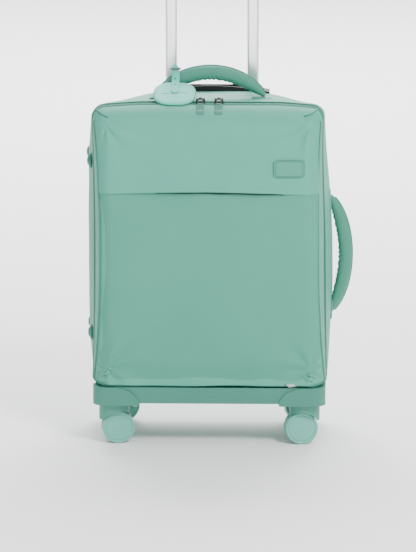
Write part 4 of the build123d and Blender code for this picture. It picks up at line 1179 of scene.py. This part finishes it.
def foot_place(u, v, w, foot_y, foot_z):
    """From a stud's plane to the bellied left side."""
    start = soften(np.array([-HALF, foot_y, foot_z], dtype=float))
    return np.stack([start[0] - w, foot_y + u, foot_z + v], axis=-1)


studs = []
for foot_y, foot_z in ((-20, 155), (60, 155), (-20, 414), (60, 414)):
    to_foot = partial(foot_place, foot_y=foot_y, foot_z=foot_z)
    studs.append(lathe(f"side_foot_{len(studs)}", STUD_R, STUD_H, to_foot, [trim_plastic]))
attach(studs, "case", "side_feet")

# %% [markdown]
# ## Wheels
# Each wheel is turned like a pot: a rounded tread, a narrow groove, and a shallow dish round the
# hub cap. The spin joints of the CAD model give each pair's middle and its axis.

# %% Wheels
DISH_R, DISH_H = (0, 3, 5.6, 6.4, 7.0, 11, 16.5), (4.5, 4.5, 4.4, 4.2, 4.15, 4.15, 4.3)
GROOVE_R, GROOVE_H = (18.6, 19.2, 19.8, 20.4), (4.5, 4.3, 3.5, 4.3)
TREAD_R = (22.2, 23.2, 23.8, 24, 24, 24, 23.8, 23.2, 21.5)
TREAD_H = (4.9, 4.6, 3.9, 3.0, 0, -3.0, -3.9, -4.6, -4.9)
INSIDE_R, INSIDE_H = (19, 9, 6, 0), (-4.4, -4.2, -5.0, -5.0)
WHEEL_R = DISH_R + GROOVE_R + TREAD_R + INSIDE_R
WHEEL_H = DISH_H + GROOVE_H + TREAD_H + INSIDE_H
WHEEL_APART = 9.0


def wheel_place(u, v, w, middle, axis, edge):
    """From a wheel's plane to its place on the axle. edge is the end of the axle that it faces, -1 or 1."""
    upright = np.array([0.0, 0.0, 1.0])
    level = np.cross(upright, axis)
    spot = middle + axis * edge * WHEEL_APART
    return spot + u[..., None] * level + v[..., None] * upright + w[..., None] * axis * edge


for joint in frame["joints"]:
    if not joint["name"].startswith("spin_"):
        continue
    middle = np.array(joint["pos_m"]) * 1000
    axis = unit(np.array(joint["axis"], dtype=float))
    corner = joint["name"].removeprefix("spin_")
    pair = []
    for edge, tag in ((-1, "inner"), (1, "outer")):
        to_wheel = partial(wheel_place, middle=middle, axis=axis, edge=edge)
        pair.append(lathe(f"wheel_{corner}_{tag}", WHEEL_R, WHEEL_H, to_wheel, [wheel_plastic], count=72))
    attach(pair, "wheels_" + corner, "wheels_" + corner)

# %% [markdown]
# ## The luggage tag
# The tag is a stitched leather card with a strap that goes round the carry handle, through a
# keeper, and back down onto the card. The card leans on the top of the case. Its slit is where the
# address slip goes in.

# %% The luggage tag
card_low, card_high = node_box("tag_card")
SLOPE = math.radians(21.0)
TAG_X = (card_low[0] + card_high[0]) / 2
CARD_A, CARD_B, CARD_T, CARD_POWER = 31.0, 33.0, 3.4, 2.7
tip_y, tip_z = card_low[1] - 2.5, card_low[2] - 0.6


def on_card(u, v, w):
    """From the card's own plane, x across, v up its slope from its middle and w off its face."""
    along = v + CARD_B
    y = tip_y + along * math.cos(SLOPE) - w * math.sin(SLOPE)
    return np.stack([TAG_X + u, y, tip_z + along * math.sin(SLOPE) + w * math.cos(SLOPE)], axis=-1)


tag_pieces = [slab("tag_card_leather", CARD_A, CARD_B, CARD_T, CARD_POWER, on_card, [tag_leather], dish=0.6)]
path, normal = slab_rim(CARD_A, CARD_B, CARD_POWER, 0.87, CARD_T - 0.5, on_card)
tag_pieces.append(stitches("tag_stitches", path, normal, thread, pitch=3.0, length=2.0))
path, normal = slab_rim(CARD_A, CARD_B, CARD_POWER, 1.0, CARD_T * 0.5 - 0.6, on_card)
edge_bead = circle_profile(0.55, 8)
tag_pieces.append(rail("tag_edge", path[:-1], normal[:-1], edge_bead, [piping_cloth], closed=True))
# The slit is a thin dark rail on the card's face: painted shade inside the opening.
u = np.linspace(-19, 19, 60)
slit = on_card(u, -1.0 + 1.2 * np.sin(u / 7.5), np.full(60, CARD_T - 0.15))
off_card = np.tile(on_card(0, 0, 1) - on_card(0, 0, 0), (60, 1))
tag_pieces.append(rail("tag_slit", slit, off_card, flat_profile(0.45, 0.25, 10), [opening_painted_shade]))

joint = next(j for j in frame["joints"] if j["name"] == "tag_swing")
LOOP_Y, LOOP_Z = joint["pos_m"][1] * 1000, joint["pos_m"][2] * 1000
LOOP_RADIUS = 16.5
KEEPER_TURN = math.radians(20)
around = np.array([-math.sin(KEEPER_TURN), math.cos(KEEPER_TURN)])
buckle = np.array([LOOP_Y, LOOP_Z]) + LOOP_RADIUS * around
start = on_card(0, -1.5, CARD_T + 0.7)[1:]
corner = on_card(0, CARD_B + 1.0, CARD_T + 1.2)[1:]
rising = corner * 0.45 + buckle * 0.55 + (-1.0, 0)
on_tag = [start, start * 0.5 + corner * 0.5, corner]
knots = np.array([*on_tag, rising, buckle, buckle + (1.0, 5.5), buckle + (1.6, 10.5)])
where = np.concatenate([[0], np.cumsum(np.linalg.norm(np.diff(knots, axis=0), axis=1))])
t = np.linspace(0, where[-1], 90)
strand = np.stack([np.interp(t, where, knots[:, k]) for k in range(2)], axis=1)
smooth_by = np.ones(9) / 9
strand[4:-4] = np.stack([np.convolve(strand[:, k], smooth_by, "valid") for k in range(2)], axis=1)
path = np.stack([np.full(90, TAG_X), strand[:, 0], strand[:, 1]], axis=1)
ahead = unit(np.gradient(path, axis=0))
normal = np.stack([ahead[:, 0], -ahead[:, 2], ahead[:, 1]], axis=1)
narrow = np.clip(np.sqrt(np.clip(t / 5.5, 0, 1) * (2 - np.clip(t / 5.5, 0, 1))), 0.25, 1)
narrow = np.minimum(narrow, np.clip(np.sqrt(np.clip((where[-1] - t) / 4, 0, 1)), 0.3, 1))
profile = flat_profile(5.4, 0.85)[None] * np.stack([narrow, np.ones(90)], axis=1)[:, None]
tag_pieces.append(rail("tag_strap_front", path, normal, profile, [tag_leather]))
# Each strap hole is a small dark disc on the strap: painted shade inside the hole.
HOLE_R, HOLE_H = (0, 0.9, 1.3, 1.3, 0), (0.12, 0.12, 0.05, -0.2, -0.2)
for number, at in enumerate((int(0.36 * 90), int(0.62 * 90))):
    def hole_place(u, v, w, spot=path[at], up=normal[at], ahead=ahead[at]):
        """From a hole's plane to the strap's outer face."""
        return spot + u[..., None] * np.array([1.0, 0, 0]) + v[..., None] * ahead + (w[..., None] + 0.8) * up

    hole = lathe(f"tag_hole_{number}", HOLE_R, HOLE_H, hole_place, [opening_painted_shade], count=16)
    tag_pieces.append(hole)
loop_middle = np.array([TAG_X + 1.2, LOOP_Y, LOOP_Z])
angle = np.linspace(math.radians(110), math.radians(110 + 352), 90)
path = loop_middle + LOOP_RADIUS * np.stack([angle * 0, np.cos(angle), np.sin(angle)], axis=1)
normal = unit(path - loop_middle)
tag_pieces.append(rail("tag_strap_loop", path, normal, flat_profile(5.2, 0.8), [tag_leather]))
attach(tag_pieces, "tag", "tag_card")
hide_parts("tag_strap")

# %% [markdown]
# ## Floor and light
# A pale floor under a bright sky gives the soft contact shadow of a catalogue picture. The sky is
# darker to both sides, so that the case's sides read darker than its front. A lamp from the upper
# right front shapes the cloth, a weak card lights the front, and a wide lamp from behind whitens
# the ground.

# %% Floor and light
floor_finish = Finish("floor_finish", Roughness=0.9, Specular_IOR_Level=0.1)
floor_finish.set(Base_Color=(0.93, 0.93, 0.93, 1))
FLOOR = 20.0
corners = [(-FLOOR, -FLOOR, 0), (FLOOR, -FLOOR, 0), (FLOOR, FLOOR, 0), (-FLOOR, FLOOR, 0)]
floor_mesh = bpy.data.meshes.new("floor")
floor_mesh.from_pydata(corners, [], [(0, 1, 2, 3)])
floor_mesh.materials.append(floor_finish.material)
floor = bpy.data.objects.new("floor", floor_mesh)
bpy.context.collection.objects.link(floor)

world = bpy.data.worlds.new("sky")
world.use_nodes = True
sky = world.node_tree
background = sky.nodes["Background"]
direction = sky.nodes.new("ShaderNodeTexCoord")
parts = sky.nodes.new("ShaderNodeSeparateXYZ")
sky.links.new(direction.outputs["Generated"], parts.inputs[0])
sideways = sky.nodes.new("ShaderNodeMath")
sideways.operation = "ABSOLUTE"
sky.links.new(parts.outputs["X"], sideways.inputs[0])
ramp = sky.nodes.new("ShaderNodeValToRGB")
for k, (place, level) in enumerate(((0.55, 1.0), (0.92, 0.30))):
    ramp.color_ramp.elements[k].position = place
    ramp.color_ramp.elements[k].color = (level, level, level, 1)
sky.links.new(sideways.outputs[0], ramp.inputs[0])
sky.links.new(ramp.outputs[0], background.inputs["Color"])
background.inputs["Strength"].default_value = 1.2
bpy.context.scene.world = world


def softbox(name, place, aim, size, power):
    """A square lamp at a place, turned to face a point."""
    data = bpy.data.lights.new(name, "AREA")
    data.size, data.energy = size, power
    lamp = bpy.data.objects.new(name, data)
    lamp.location = place
    lamp.rotation_euler = (Vector(aim) - Vector(place)).to_track_quat("-Z", "Y").to_euler()
    bpy.context.collection.objects.link(lamp)


softbox("key_lamp", (1.5, -2.4, 2.6), (0, 0, 0.3), 0.9, 120)
softbox("front_card", (0.0, -4.0, 0.32), (0, 0, 0.32), 0.8, 20)
softbox("top_lamp", (0.0, 3.4, 3.0), (0, 1.6, 0.0), 3.4, 440)
